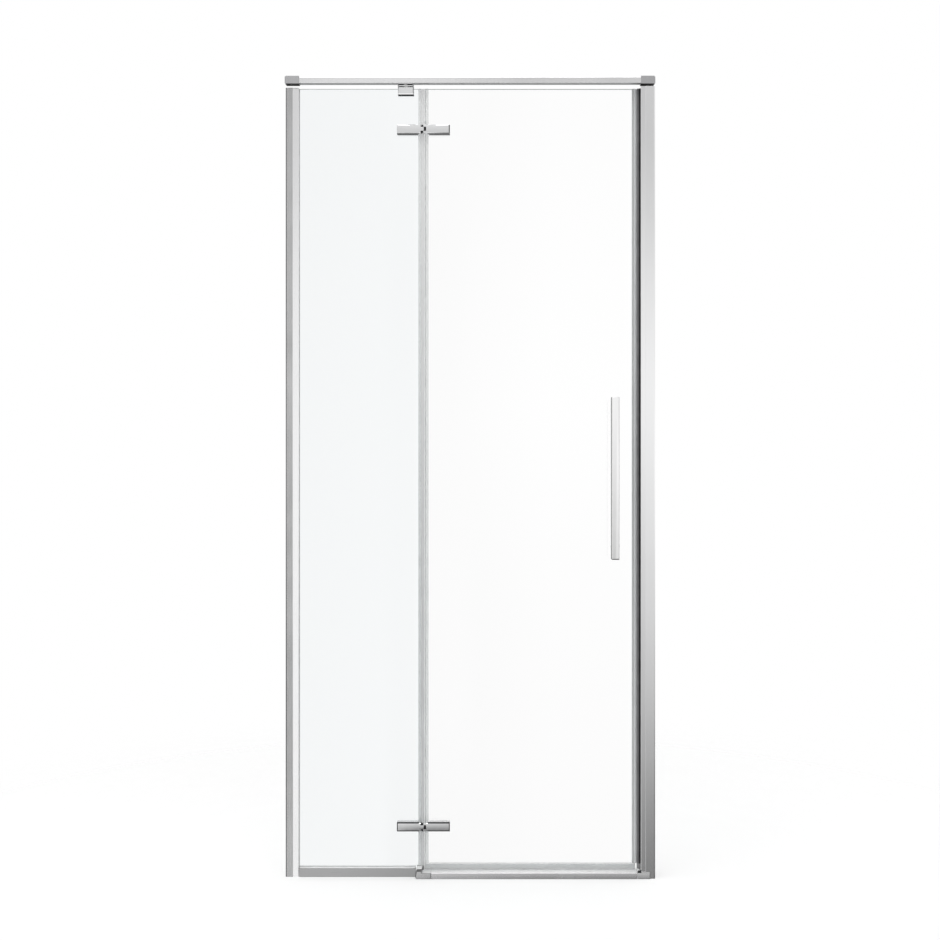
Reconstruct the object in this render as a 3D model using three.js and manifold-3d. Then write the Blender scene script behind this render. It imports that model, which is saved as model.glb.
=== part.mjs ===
// Shower door for a recess: a narrow fixed pane, and a door hung from that pane on two glass hinges.
// Lengths are millimetres. +X is right, +Y goes into the shower and +Z is up.
// The origin is on the floor, half way between the two walls, in the mid-plane of the glass.

import * as THREE from "three";
import { mergeVertices } from "three/addons/utils/BufferGeometryUtils.js";
import Module from "manifold-3d";

const wasm = await Module();
wasm.setup();

// Driving sizes
const opening_width = 900;
const frame_height = 1950;
const glass_thickness = 6;
const hinge_axis_from_wall = 336.3;
const hinge_axis_forward = 15.5;

// Clearances
const seat_gap = 0.2;
const bore_gap = 0.15;
const knuckle_gap = 0.3;
const overrun = 1;

// Wall channels, fixed to the two walls
const channel_wall = 1.6;
const left_channel_reach = 17.4;
const left_channel_depth = 28.8;
const right_channel_reach = 23.3;
const right_channel_forward = 15.1;
const fixing_hole_radius = 3;
const fixing_height_shares = [0.12, 0.47, 0.88];

// Profiles that slide in the wall channels
const profile_wall = 1.5;
const adjust_play = 2.4;
const left_profile_face = 14.6;
const right_profile_face = 11.4;
const glass_pocket_depth = 16;
const profile_screw_inset = 9;
const profile_screw_shares = [0.05, 0.5, 0.95];

// Glazing gaskets, U-shaped round the edges of the fixed pane
const gasket_leg = 2.2;
const gasket_base = 2;
const gasket_proud = 0.8;

// Bottom rail under the fixed pane
const bottom_rail_height = 21;
const rail_end_from_axis = 19.3;
const rail_pocket_floor = 5.6;

// Panes
const fixed_glass_from_axis = 6.3;
const door_glass_from_axis = 4.7;
const hinge_hole_radius = 4.5;

// Clear seals between the panes, at the strike and under the door
const seal_leg = 1.4;
const seal_bulb_depth = 10;
const seal_tip_depth = 6.4;
const seal_meeting_from_axis = 2.3;
const seal_meeting_gap = 0.6;
const fixed_seal_leg_from_axis = 12.7;
const door_seal_leg_from_axis = 12.1;
const strike_seal_nose = 5.4;
const strike_seal_leg = 5.5;
const strike_gap = 0.9;
const bottom_seal_top = 31;
const bottom_seal_base = 17.8;
const bottom_seal_web = 3.8;
const bottom_seal_depth = 10;
const bottom_seal_setback = 2;
const skirt_thickness = 1.2;
const skirt_clearance = 0.6;

// Magnets in the strike seal and in the carrier that faces it
const carrier_reach = 6.7;
const carrier_depth = 13;
const carrier_neck_depth = 3.6;
const carrier_foot_depth = 7;
const carrier_foot_thickness = 1.6;
const magnet_thickness = 2.4;
const magnet_depth = 4.6;
const magnet_cover = 1;

// Threshold bar on the floor under the door, and its end blocks
const threshold_height = 14.5;
const threshold_forward = 32;
const threshold_backward = 12;
const threshold_back_height = 8;
const threshold_flat_backward = 2;
const threshold_wall = 1.6;
const block_end_from_axis = 18.9;
const block_step_from_axis = 3.3;
const block_tall_height = 24;
const block_tip_height = 5;
const block_tip_low_inset = 2.2;
const block_tip_high_inset = 3.4;
const block_tenon_length = 12;
const block_tenon_gap = 0.5;
const right_block_start = 8.9;
const right_block_ramp = 3.6;
const right_block_peak = 18;
const right_block_tab_length = 21.9;
const right_block_tab_height = 15.5;

// Header rail and what holds its ends
const rail_height = 15;
const rail_depth = 18;
const rail_wall = 1.2;
const rail_end_inset = 4;
const rail_forward = 21;
const bracket_height = 19;
const bracket_depth = 22;
const bracket_length = 32.7;
const bracket_air = 5;
const plate_thickness = 2;
const plate_margin = 1.5;
const tenon_length = 23;
const plate_screw_radius = 2.6;
const grub_radius = 1.6;
const grub_length = 5.2;
const grub_inset = 14;

// Clamp that ties the fixed pane to the header rail
const clamp_width = 39;
const clamp_from_axis = 42.9;
const clamp_jaw_thickness = 12.8;
const clamp_jaw_height = 16.4;
const clamp_plate_thickness = 5;
const clamp_flange_thickness = 2.5;
const clamp_flange_reach = 12;
const clamp_chamfer = 2.4;
const clamp_bridge_gap = 0.3;

// Hinges
const lower_hinge_height = 122.6;
const upper_hinge_from_top = 102;
const hinge_height = 20.5;
const hinge_leaf_reach = 64.5;
const hinge_body_from_axis = 13.1;
const hinge_neck_from_axis = 6.5;
const knuckle_radius = 5;
const knuckle_row = 9.7;
const hinge_end_chamfer = 2.4;
const hinge_edge_chamfer = 1.2;
const hinge_plate_thickness = 5;
const hinge_screw_inset = 12;
const hinge_screw_engagement = 9;
const pin_radius = 2;
const pin_recess = 0.5;

// Handle on the door
const handle_from_wall = 99;
const handle_width = 19.2;
const handle_thickness = 24;
const handle_length = 392;
const handle_mid_height = 973;
const handle_forward = 60;
const handle_chamfer = 1;
const post_radius = 5.5;
const post_from_end = 28;
const stud_radius = 3;
const stud_engagement = 8;
const button_radius = 6;
const button_length = 7.8;
const button_bore_depth = 6;
const button_chamfer = 1;

// Screws
const screw_shank_radius = 2.3;
const screw_head_radius = 4.5;
const screw_head_depth = 2.4;
const pan_head_radius = 4;
const pan_head_depth = 2.4;
const pan_head_crown = 0.7;
const pan_shank_radius = 2;
const pan_length = 8;

// How finely round pieces are faceted
const round_sides = 24;
const screw_sides = 12;

// Places that follow from the sizes
const half_opening = opening_width / 2;
const half_glass = glass_thickness / 2;
const grip = half_glass + seat_gap;
const axis_x = hinge_axis_from_wall - half_opening;
const axis_y = -hinge_axis_forward;
const profile_height = frame_height - bracket_height - bracket_air;
const left_half_depth = left_channel_depth / 2;
const right_front = left_half_depth + right_channel_forward;
const profile_tail = channel_wall + adjust_play;
const left_profile_end = left_channel_reach + left_profile_face;
const right_profile_end = right_channel_reach + right_profile_face;
const left_pocket_floor = left_profile_end - glass_pocket_depth;
const gasket_half_depth = grip + gasket_leg;
const gasket_room = gasket_half_depth + seat_gap;
const gasket_floor = seat_gap + gasket_base + seat_gap;
const rail_start_x = left_profile_end + gasket_proud + seat_gap - half_opening;
const rail_end_x = axis_x - rail_end_from_axis;
const fixed_glass_left = left_pocket_floor + gasket_floor - half_opening;
const fixed_glass_right = axis_x - fixed_glass_from_axis;
const fixed_glass_bottom = rail_pocket_floor + gasket_floor;
const glass_top = profile_height;
const upper_hinge_height = glass_top - upper_hinge_from_top;
const strike_x = half_opening - right_profile_end;
const carrier_face_x = strike_x - carrier_reach;
const strike_seal_tip_x = carrier_face_x - strike_gap;
const door_glass_left = axis_x + door_glass_from_axis;
const door_glass_right = strike_seal_tip_x - strike_seal_nose;
const door_glass_bottom = bottom_seal_base + bottom_seal_web + seat_gap;
const seal_meeting_x = axis_x + seal_meeting_from_axis;
const seal_leg_depth = 2 * (grip + seal_leg);
const header_z = frame_height - bracket_height / 2;
const header_y = -rail_forward;
const clamp_top = header_z - rail_height / 2 - seat_gap;
const clamp_bottom = glass_top - clamp_jaw_height;
const clamp_x = axis_x - clamp_from_axis;
const clamp_front = -grip - clamp_jaw_thickness;
const bar_start_x = axis_x + block_end_from_axis + seat_gap;
const bar_end_x = strike_x - right_block_start - seat_gap;
const handle_x = half_opening - handle_from_wall;
const handle_back = handle_thickness - handle_forward;
const hinge_body_depth = hinge_axis_forward - grip;
const hinge_screw_places = [hinge_body_from_axis + hinge_screw_inset, hinge_leaf_reach - hinge_screw_inset];
const hinge_screw_length = hinge_plate_thickness + 2 * grip + hinge_screw_engagement;

// Finishes: colour, roughness and metalness of each kind of surface
const finishes = {
  aluminium: { color: 0xc4c6c8, roughness: 0.3, metalness: 0.95 },
  chrome: { color: 0xd6d8da, roughness: 0.12, metalness: 1 },
  steel: { color: 0xa9abad, roughness: 0.35, metalness: 1 },
  glass: { color: 0xe9f1ef, roughness: 0.04, metalness: 0, transparent: true, opacity: 0.3 },
  clear_vinyl: { color: 0xd4d7d8, roughness: 0.4, metalness: 0 },
  grey_rubber: { color: 0x6e7072, roughness: 0.7, metalness: 0 },
  magnet_black: { color: 0x3a3b3d, roughness: 0.6, metalness: 0.1 },
};

// A closed three.js geometry as a solid that can be cut and joined.
function solid_of(geometry) {
  const bare = geometry.clone();
  bare.deleteAttribute("normal");
  bare.deleteAttribute("uv");
  const merged = mergeVertices(bare);
  const mesh = new wasm.Mesh({
    numProp: 3,
    vertProperties: merged.attributes.position.array,
    triVerts: new Uint32Array(merged.index.array),
  });
  return new wasm.Manifold(mesh);
}

// A solid as a flat-shaded three.js geometry.
function geometry_of(solid) {
  const mesh = solid.getMesh();
  const indexed = new THREE.BufferGeometry();
  indexed.setAttribute("position", new THREE.BufferAttribute(mesh.vertProperties, 3));
  indexed.setIndex(new THREE.BufferAttribute(mesh.triVerts, 1));
  const geometry = indexed.toNonIndexed();
  geometry.computeVertexNormals();
  return geometry;
}

// How a shape's own axes lie in the part when it is pushed out along X, Y or Z.
// Outlines are written as (y, z) along X, as (x, z) along Y and as (x, y) along Z.
const lay_along = {
  x: new THREE.Matrix4().makeBasis(
    new THREE.Vector3(0, 1, 0),
    new THREE.Vector3(0, 0, 1),
    new THREE.Vector3(1, 0, 0),
  ),
  y: new THREE.Matrix4().makeBasis(
    new THREE.Vector3(1, 0, 0),
    new THREE.Vector3(0, 0, 1),
    new THREE.Vector3(0, -1, 0),
  ),
  z: new THREE.Matrix4(),
};

function points_of(outline) {
  return outline.map(([a, b]) => new THREE.Vector2(a, b));
}

// The points of an outline in counter-clockwise order, whichever way it was written or mirrored.
function loop_of(outline) {
  const points = points_of(outline);
  return THREE.ShapeUtils.isClockWise(points) ? points.reverse() : points;
}

// An outline, with holes in it if any are given, pushed out along an axis from one place to another.
function prism(axis, outline, from, to, holes = []) {
  const shape = new THREE.Shape(loop_of(outline));
  shape.holes = holes.map((hole) => new THREE.Path(loop_of(hole)));
  const geometry = new THREE.ExtrudeGeometry(shape, { depth: to - from, bevelEnabled: false });
  geometry.translate(0, 0, axis === "y" ? -to : from);
  geometry.applyMatrix4(lay_along[axis]);
  return solid_of(geometry);
}

function rectangle(low_a, high_a, low_b, high_b) {
  return [
    [low_a, low_b],
    [high_a, low_b],
    [high_a, high_b],
    [low_a, high_b],
  ];
}

function block(x, y, z) {
  return prism("z", rectangle(x[0], x[1], y[0], y[1]), z[0], z[1]);
}

// A straight round rod along an axis; a and b place it on the other two axes, in outline order.
function rod(axis, a, b, radius, from, to, sides = screw_sides) {
  const turn = (2 * Math.PI) / sides;
  const circle = Array.from({ length: sides }, (_, i) => [
    a + radius * Math.cos(i * turn),
    b + radius * Math.sin(i * turn),
  ]);
  return prism(axis, circle, from, to);
}

// A profile of (radius, y) points spun round the Y axis.
function turned(profile, sides = screw_sides) {
  return solid_of(new THREE.LatheGeometry(points_of(profile), sides));
}

function joined(solids) {
  return solids.reduce((whole, solid) => whole.add(solid));
}

function cut(solid, cutters) {
  return cutters.reduce((rest, cutter) => rest.subtract(cutter), solid);
}

// Distances from the left (-1) or right (+1) wall turned into places along X.
function wall_x(side, inset) {
  return side * (half_opening - inset);
}

function from_wall(side, outline) {
  return outline.map(([inset, y]) => [wall_x(side, inset), y]);
}

// A rod along X through what stands between two distances from a wall.
function rod_from_wall(side, y, z, radius, from_inset, to_inset) {
  const ends = [wall_x(side, from_inset), wall_x(side, to_inset)];
  return rod("x", y, z, radius, Math.min(...ends), Math.max(...ends));
}

// Screws

// A countersunk screw along Y: its flat head at y = 0 faces +Y and its point is at -length.
function countersunk_screw(length) {
  return turned([
    [0, -length],
    [screw_shank_radius, -length],
    [screw_shank_radius, -screw_head_depth],
    [screw_head_radius, 0],
    [0, 0],
  ]);
}

// The room that a countersunk screw needs in the piece that holds its head.
function countersink(x, y, z, depth) {
  const wide = screw_head_radius + bore_gap;
  const narrow = screw_shank_radius + bore_gap;
  const room = turned([
    [0, -depth],
    [narrow, -depth],
    [narrow, -screw_head_depth],
    [wide, 0],
    [wide, overrun],
    [0, overrun],
  ]);
  return room.translate([x, y, z]);
}

// A pan-head screw along Y: the head sits on y = 0 and its point is at -pan_length.
function pan_screw() {
  return turned([
    [0, -pan_length],
    [pan_shank_radius, -pan_length],
    [pan_shank_radius, 0],
    [pan_head_radius, 0],
    [pan_head_radius, pan_head_depth - pan_head_crown],
    [pan_head_radius - pan_head_crown, pan_head_depth],
    [0, pan_head_depth],
  ]);
}

function profile_screw_places(side) {
  const x = wall_x(side, profile_screw_inset);
  return profile_screw_shares.map((share) => [x, share * profile_height]);
}

function profile_screw_holes(side) {
  const radius = pan_shank_radius + bore_gap;
  const deep = left_half_depth - pan_length;
  return profile_screw_places(side).map(([x, z]) => rod("y", x, z, radius, deep, left_half_depth + overrun));
}

// Wall channels and the profiles that slide in them

function wall_channel(side, reach, front) {
  const back = left_half_depth;
  const outline = [
    [0, -front],
    [reach, -front],
    [reach, channel_wall - front],
    [channel_wall, channel_wall - front],
    [channel_wall, back - channel_wall],
    [reach, back - channel_wall],
    [reach, back],
    [0, back],
  ];
  const body = prism("z", from_wall(side, outline), 0, profile_height);
  const fixing_holes = fixing_height_shares.map((share) =>
    rod_from_wall(side, 0, share * profile_height, fixing_hole_radius, -overrun, channel_wall + overrun),
  );
  return cut(body, [...fixing_holes, ...profile_screw_holes(side)]);
}

// The section of an extrusion that holds the edge of a pane, as (along, across) points.
// It runs from its tail to its open end, with a lipped pocket for the gasket and a chamber behind.
function glazing_outline(half_depth, tail, end, pocket_floor) {
  const inner = half_depth - profile_wall;
  return [
    [tail, -half_depth],
    [end, -half_depth],
    [end, -gasket_room],
    [end - profile_wall, -gasket_room],
    [end - profile_wall, -inner],
    [pocket_floor, -inner],
    [pocket_floor, inner],
    [end - profile_wall, inner],
    [end - profile_wall, gasket_room],
    [end, gasket_room],
    [end, half_depth],
    [tail, half_depth],
  ];
}

function glazing_chamber(half_depth, tail, pocket_floor) {
  const inner = half_depth - profile_wall;
  return rectangle(tail + profile_wall, pocket_floor - profile_wall, -inner, inner);
}

function glazing_profile() {
  const half_depth = left_half_depth - channel_wall - seat_gap;
  const outline = glazing_outline(half_depth, profile_tail, left_profile_end, left_pocket_floor);
  const chamber = glazing_chamber(half_depth, profile_tail, left_pocket_floor);
  const body = prism("z", from_wall(-1, outline), 0, profile_height, [from_wall(-1, chamber)]);
  return cut(body, profile_screw_holes(-1));
}

// The strike profile is a deep hollow box with a slot that takes the foot of the magnet carrier.
function strike_profile() {
  const front = right_front - channel_wall - seat_gap;
  const back = left_half_depth - channel_wall - seat_gap;
  const slot = carrier_neck_depth / 2 + seat_gap;
  const end = right_profile_end;
  const outline = [
    [profile_tail, -front],
    [end, -front],
    [end, -slot],
    [end - profile_wall, -slot],
    [end - profile_wall, profile_wall - front],
    [profile_tail + profile_wall, profile_wall - front],
    [profile_tail + profile_wall, back - profile_wall],
    [end - profile_wall, back - profile_wall],
    [end - profile_wall, slot],
    [end, slot],
    [end, back],
    [profile_tail, back],
  ];
  return cut(prism("z", from_wall(1, outline), 0, profile_height), profile_screw_holes(1));
}

// Gaskets, as (along, across) points: a U whose open end stands proud of the profile.
function gasket_outline(floor, end) {
  return [
    [floor, -gasket_half_depth],
    [end, -gasket_half_depth],
    [end, -grip],
    [floor + gasket_base, -grip],
    [floor + gasket_base, grip],
    [end, grip],
    [end, gasket_half_depth],
    [floor, gasket_half_depth],
  ];
}

function side_gasket() {
  const outline = gasket_outline(left_pocket_floor + seat_gap, left_profile_end + gasket_proud);
  return prism("z", from_wall(-1, outline), fixed_glass_bottom, glass_top);
}

function across_first(outline) {
  return outline.map(([along, across]) => [across, along]);
}

function rail_gasket() {
  const outline = gasket_outline(rail_pocket_floor + seat_gap, bottom_rail_height + gasket_proud);
  return prism("x", across_first(outline), rail_start_x, rail_end_x);
}

function bottom_rail() {
  const outline = glazing_outline(left_half_depth, 0, bottom_rail_height, rail_pocket_floor);
  const chamber = glazing_chamber(left_half_depth, 0, rail_pocket_floor);
  return prism("x", across_first(outline), rail_start_x, rail_end_x, [across_first(chamber)]);
}

// Panes

function hinge_glass_holes(side) {
  const heights = [lower_hinge_height, upper_hinge_height];
  return heights.flatMap((z) =>
    hinge_screw_places.map((from_axis) =>
      rod("y", axis_x + side * from_axis, z, hinge_hole_radius, -half_glass - overrun, half_glass + overrun),
    ),
  );
}

function fixed_glass() {
  const width = [fixed_glass_left, fixed_glass_right];
  const pane = block(width, [-half_glass, half_glass], [fixed_glass_bottom, glass_top]);
  return cut(pane, hinge_glass_holes(-1));
}

function post_heights() {
  const from_mid = handle_length / 2 - post_from_end;
  return [handle_mid_height - from_mid, handle_mid_height + from_mid];
}

function door_glass() {
  const width = [door_glass_left, door_glass_right];
  const pane = block(width, [-half_glass, half_glass], [door_glass_bottom, glass_top]);
  const post_holes = post_heights().map((z) =>
    rod("y", handle_x, z, hinge_hole_radius, -half_glass - overrun, half_glass + overrun),
  );
  return cut(pane, [...hinge_glass_holes(1), ...post_holes]);
}

// Seals

// A clear edge seal as (x, y) points: two legs grip the pane and a bulb narrows to the tip.
function edge_seal_outline(leg_x, glass_edge_x, tip_x) {
  const leg = seal_leg_depth / 2;
  const bulb = seal_bulb_depth / 2;
  const tip = seal_tip_depth / 2;
  const floor_x = glass_edge_x + Math.sign(tip_x - leg_x) * seat_gap;
  return [
    [leg_x, -leg],
    [floor_x, -bulb],
    [tip_x, -tip],
    [tip_x, tip],
    [floor_x, bulb],
    [leg_x, leg],
    [leg_x, grip],
    [floor_x, grip],
    [floor_x, -grip],
    [leg_x, -grip],
  ];
}

function fixed_edge_seal() {
  const tip_x = seal_meeting_x - seal_meeting_gap / 2;
  const outline = edge_seal_outline(axis_x - fixed_seal_leg_from_axis, fixed_glass_right, tip_x);
  return prism("z", outline, block_tall_height + seat_gap, glass_top);
}

function door_hinge_seal() {
  const tip_x = seal_meeting_x + seal_meeting_gap / 2;
  const outline = edge_seal_outline(axis_x + door_seal_leg_from_axis, door_glass_left, tip_x);
  return prism("z", outline, bottom_seal_top + seat_gap, glass_top);
}

// The magnet's room in a seal or carrier whose face is at face_x and whose body lies towards side.
function magnet_room(face_x, side, slack) {
  const near = face_x + side * (magnet_cover - slack);
  const far = face_x + side * (magnet_cover + magnet_thickness + slack);
  const half = magnet_depth / 2 + slack;
  return rectangle(Math.min(near, far), Math.max(near, far), -half, half);
}

function door_strike_seal() {
  const outline = edge_seal_outline(door_glass_right - strike_seal_leg, door_glass_right, strike_seal_tip_x);
  const room = magnet_room(strike_seal_tip_x, -1, bore_gap);
  return prism("z", outline, bottom_seal_top + seat_gap, glass_top, [room]);
}

function door_magnet() {
  return prism("z", magnet_room(strike_seal_tip_x, -1, 0), bottom_seal_top + seat_gap, glass_top);
}

// The carrier's foot is behind the wall of the strike profile and its neck is in the slot.
function magnet_carrier() {
  const half = carrier_depth / 2;
  const neck = carrier_neck_depth / 2;
  const foot = carrier_foot_depth / 2;
  const base_x = strike_x - seat_gap;
  const foot_x = strike_x + profile_wall + seat_gap;
  const end_x = foot_x + carrier_foot_thickness;
  const outline = [
    [carrier_face_x, -half],
    [base_x, -half],
    [base_x, -neck],
    [foot_x, -neck],
    [foot_x, -foot],
    [end_x, -foot],
    [end_x, foot],
    [foot_x, foot],
    [foot_x, neck],
    [base_x, neck],
    [base_x, half],
    [carrier_face_x, half],
  ];
  return prism("z", outline, bottom_seal_top, profile_height, [magnet_room(carrier_face_x, 1, bore_gap)]);
}

function strike_magnet() {
  return prism("z", magnet_room(carrier_face_x, 1, 0), bottom_seal_top, profile_height);
}

// A channel over the bottom edge of the door, with a thin skirt that wipes over the threshold.
function door_bottom_seal() {
  const half = bottom_seal_depth / 2;
  const web_top = bottom_seal_base + bottom_seal_web;
  const skirt_end = threshold_height + skirt_clearance;
  const skirt = skirt_thickness / 2;
  const outline = [
    [-half, bottom_seal_base],
    [-skirt, bottom_seal_base],
    [-skirt, skirt_end],
    [skirt, skirt_end],
    [skirt, bottom_seal_base],
    [half, bottom_seal_base],
    [half, bottom_seal_top],
    [grip, bottom_seal_top],
    [grip, web_top],
    [-grip, web_top],
    [-grip, bottom_seal_top],
    [-half, bottom_seal_top],
  ];
  const start = seal_meeting_x + seal_meeting_gap / 2;
  return prism("x", outline, start, bar_end_x - bottom_seal_setback);
}

// Threshold

function threshold_bar() {
  const front = -threshold_forward;
  const outline = [
    [front, 0],
    [threshold_backward, 0],
    [threshold_backward, threshold_back_height],
    [threshold_flat_backward, threshold_height],
    [front, threshold_height],
  ];
  const chamber = [
    [front + threshold_wall, threshold_wall],
    [threshold_backward - threshold_wall, threshold_wall],
    [threshold_backward - threshold_wall, threshold_back_height - threshold_wall],
    [threshold_flat_backward - threshold_wall, threshold_height - threshold_wall],
    [front + threshold_wall, threshold_height - threshold_wall],
  ];
  return prism("x", outline, bar_start_x, bar_end_x, [chamber]);
}

// The tenon that plugs an end of the threshold bar.
function threshold_tenon(x) {
  const inset = threshold_wall + block_tenon_gap;
  const y = [inset - threshold_forward, threshold_flat_backward - inset];
  return block(x, y, [inset, threshold_height - inset]);
}

// The left block closes the bottom rail and the threshold bar, and steps down under the door.
function threshold_block_left() {
  const start = rail_end_x + seat_gap;
  const step = axis_x - block_step_from_axis;
  const end = axis_x + block_end_from_axis;
  const outline = [
    [start + block_tip_low_inset, 0],
    [end, 0],
    [end, threshold_height],
    [step, threshold_height],
    [step, block_tall_height],
    [start + block_tip_high_inset, block_tall_height],
    [start, block_tip_height],
  ];
  const body = prism("y", outline, -threshold_forward, threshold_backward);
  const slot = block(
    [start - overrun, fixed_glass_right + seat_gap],
    [-grip, grip],
    [fixed_glass_bottom - seat_gap, block_tall_height + overrun],
  );
  return body.subtract(slot).add(threshold_tenon([end - overrun, end + block_tenon_length]));
}

// The right block has a deep foot beside the strike profile and a thin tab in front of it.
function threshold_block_right() {
  const start = strike_x - right_block_start;
  const foot_end = strike_x - seat_gap;
  const tab_end = strike_x + right_block_tab_length;
  const outline = [
    [start, 0],
    [tab_end, 0],
    [tab_end, right_block_tab_height],
    [start + right_block_ramp, right_block_peak],
    [start, threshold_height],
  ];
  const whole = prism("y", outline, -threshold_forward, threshold_backward);
  const room = block(
    [foot_end, tab_end + overrun],
    [-right_front - seat_gap, threshold_backward + overrun],
    [-overrun, right_block_peak + overrun],
  );
  return whole.subtract(room).add(threshold_tenon([start - block_tenon_length, start + overrun]));
}

// Header rail and its ends

function header_box(half_depth, half_height) {
  const low_z = header_z - half_height;
  return rectangle(header_y - half_depth, header_y + half_depth, low_z, header_z + half_height);
}

function grub_bottom() {
  return header_z - bracket_height / 2;
}

function grub_hole(side) {
  const radius = grub_radius + bore_gap;
  const top = grub_bottom() + grub_length + seat_gap;
  return rod("z", wall_x(side, grub_inset), header_y, radius, grub_bottom() - overrun, top);
}

function clamp_screw_y() {
  return clamp_front - clamp_flange_reach / 2;
}

function header_rail() {
  const outline = header_box(rail_depth / 2, rail_height / 2);
  const bore = header_box(rail_depth / 2 - rail_wall, rail_height / 2 - rail_wall);
  const tube = prism("x", outline, wall_x(-1, rail_end_inset), wall_x(1, rail_end_inset), [bore]);
  const radius = screw_shank_radius + bore_gap;
  const screw_hole = rod("z", clamp_x, clamp_screw_y(), radius, clamp_top - overrun, header_z);
  return cut(tube, [grub_hole(-1), grub_hole(1), screw_hole]);
}

function header_bracket(side) {
  const outline = header_box(bracket_depth / 2, bracket_height / 2);
  const opening = header_box(rail_depth / 2 + seat_gap, rail_height / 2 + seat_gap);
  const start = plate_thickness + seat_gap;
  const ends = [wall_x(side, start), wall_x(side, start + bracket_length)];
  const sleeve = prism("x", outline, Math.min(...ends), Math.max(...ends), [opening]);
  return sleeve.subtract(grub_hole(side));
}

function header_wall_plate(side) {
  const flange_outline = header_box(bracket_depth / 2 - plate_margin, bracket_height / 2 - plate_margin);
  const snug = rail_wall + seat_gap;
  const tenon_outline = header_box(rail_depth / 2 - snug, rail_height / 2 - snug);
  const edge = wall_x(side, 0);
  const face = wall_x(side, plate_thickness);
  const tip = wall_x(side, plate_thickness + tenon_length);
  const flange = prism("x", flange_outline, Math.min(edge, face), Math.max(edge, face));
  const tenon = prism("x", tenon_outline, Math.min(edge, tip), Math.max(edge, tip));
  const reach = plate_thickness + tenon_length + overrun;
  const screw_hole = rod_from_wall(side, header_y, header_z, plate_screw_radius, -overrun, reach);
  return cut(flange.add(tenon), [screw_hole, grub_hole(side)]);
}

function rail_grub_screw(side) {
  const bottom = grub_bottom();
  return rod("z", wall_x(side, grub_inset), header_y, grub_radius, bottom, bottom + grub_length);
}

// Clamp between the header rail and the fixed pane

function clamp_screw_z() {
  return (glass_top + clamp_top) / 2;
}

function clamp_body() {
  const left = clamp_x - clamp_width / 2;
  const right = clamp_x + clamp_width / 2;
  const back = -grip;
  const plan = [
    [left, back],
    [left, clamp_front + clamp_chamfer],
    [left + clamp_chamfer, clamp_front],
    [right - clamp_chamfer, clamp_front],
    [right, clamp_front + clamp_chamfer],
    [right, back],
  ];
  const side_view = [
    [clamp_front, clamp_top],
    [clamp_front, clamp_bottom + clamp_chamfer],
    [clamp_front + clamp_chamfer, clamp_bottom],
    [back, clamp_bottom],
    [back, clamp_top],
  ];
  const jaw = prism("z", plan, clamp_bottom, clamp_top).intersect(prism("x", side_view, left, right));
  const flange = block(
    [left + clamp_chamfer, right - clamp_chamfer],
    [clamp_front - clamp_flange_reach, back],
    [clamp_top - clamp_flange_thickness, clamp_top],
  );
  const bridge = block([left, right], [back - overrun, grip], [glass_top + clamp_bridge_gap, clamp_top]);
  const radius = screw_shank_radius + bore_gap;
  const deep = clamp_jaw_screw_tip() - seat_gap;
  const jaw_hole = rod("y", clamp_x, clamp_screw_z(), radius, deep, grip + overrun);
  const countersunk = countersink(0, 0, 0, clamp_flange_thickness + overrun).rotate([-90, 0, 0]);
  const rail_hole = countersunk.translate([clamp_x, clamp_screw_y(), clamp_top - clamp_flange_thickness]);
  return cut(joined([jaw, flange, bridge]), [jaw_hole, rail_hole]);
}

function clamp_plate_back() {
  return grip + seat_gap + clamp_plate_thickness;
}

function clamp_jaw_screw_length() {
  return clamp_plate_thickness + seat_gap + 2 * grip + clamp_jaw_thickness / 2;
}

function clamp_jaw_screw_tip() {
  return clamp_plate_back() - clamp_jaw_screw_length();
}

function clamp_plate() {
  const left = clamp_x - clamp_width / 2;
  const right = clamp_x + clamp_width / 2;
  const front = grip + seat_gap;
  const back = clamp_plate_back();
  const plate = block([left, right], [front, back], [clamp_bottom, clamp_top]);
  return plate.subtract(countersink(clamp_x, back, clamp_screw_z(), clamp_plate_thickness + overrun));
}

function clamp_rail_screw() {
  const length = clamp_flange_thickness + seat_gap + rail_wall + stud_engagement / 2;
  return countersunk_screw(length).rotate([-90, 0, 0]);
}

// Hinges, modelled with the axis at x = 0 and y = 0 and mid-height at z = 0.
// side is -1 for the leaf on the fixed pane and +1 for the leaf on the door.

function mirrored(side, outline) {
  return outline.map(([x, y]) => [side * x, y]);
}

// The heights, from mid-height, of the knuckles of each leaf.
function knuckle_rows(side) {
  const inner = (knuckle_row - knuckle_gap) / 2;
  const outer = (knuckle_row + knuckle_gap) / 2;
  const end = hinge_height / 2;
  return side < 0
    ? [[-inner, inner]]
    : [
        [-end, -outer],
        [outer, end],
      ];
}

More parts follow.
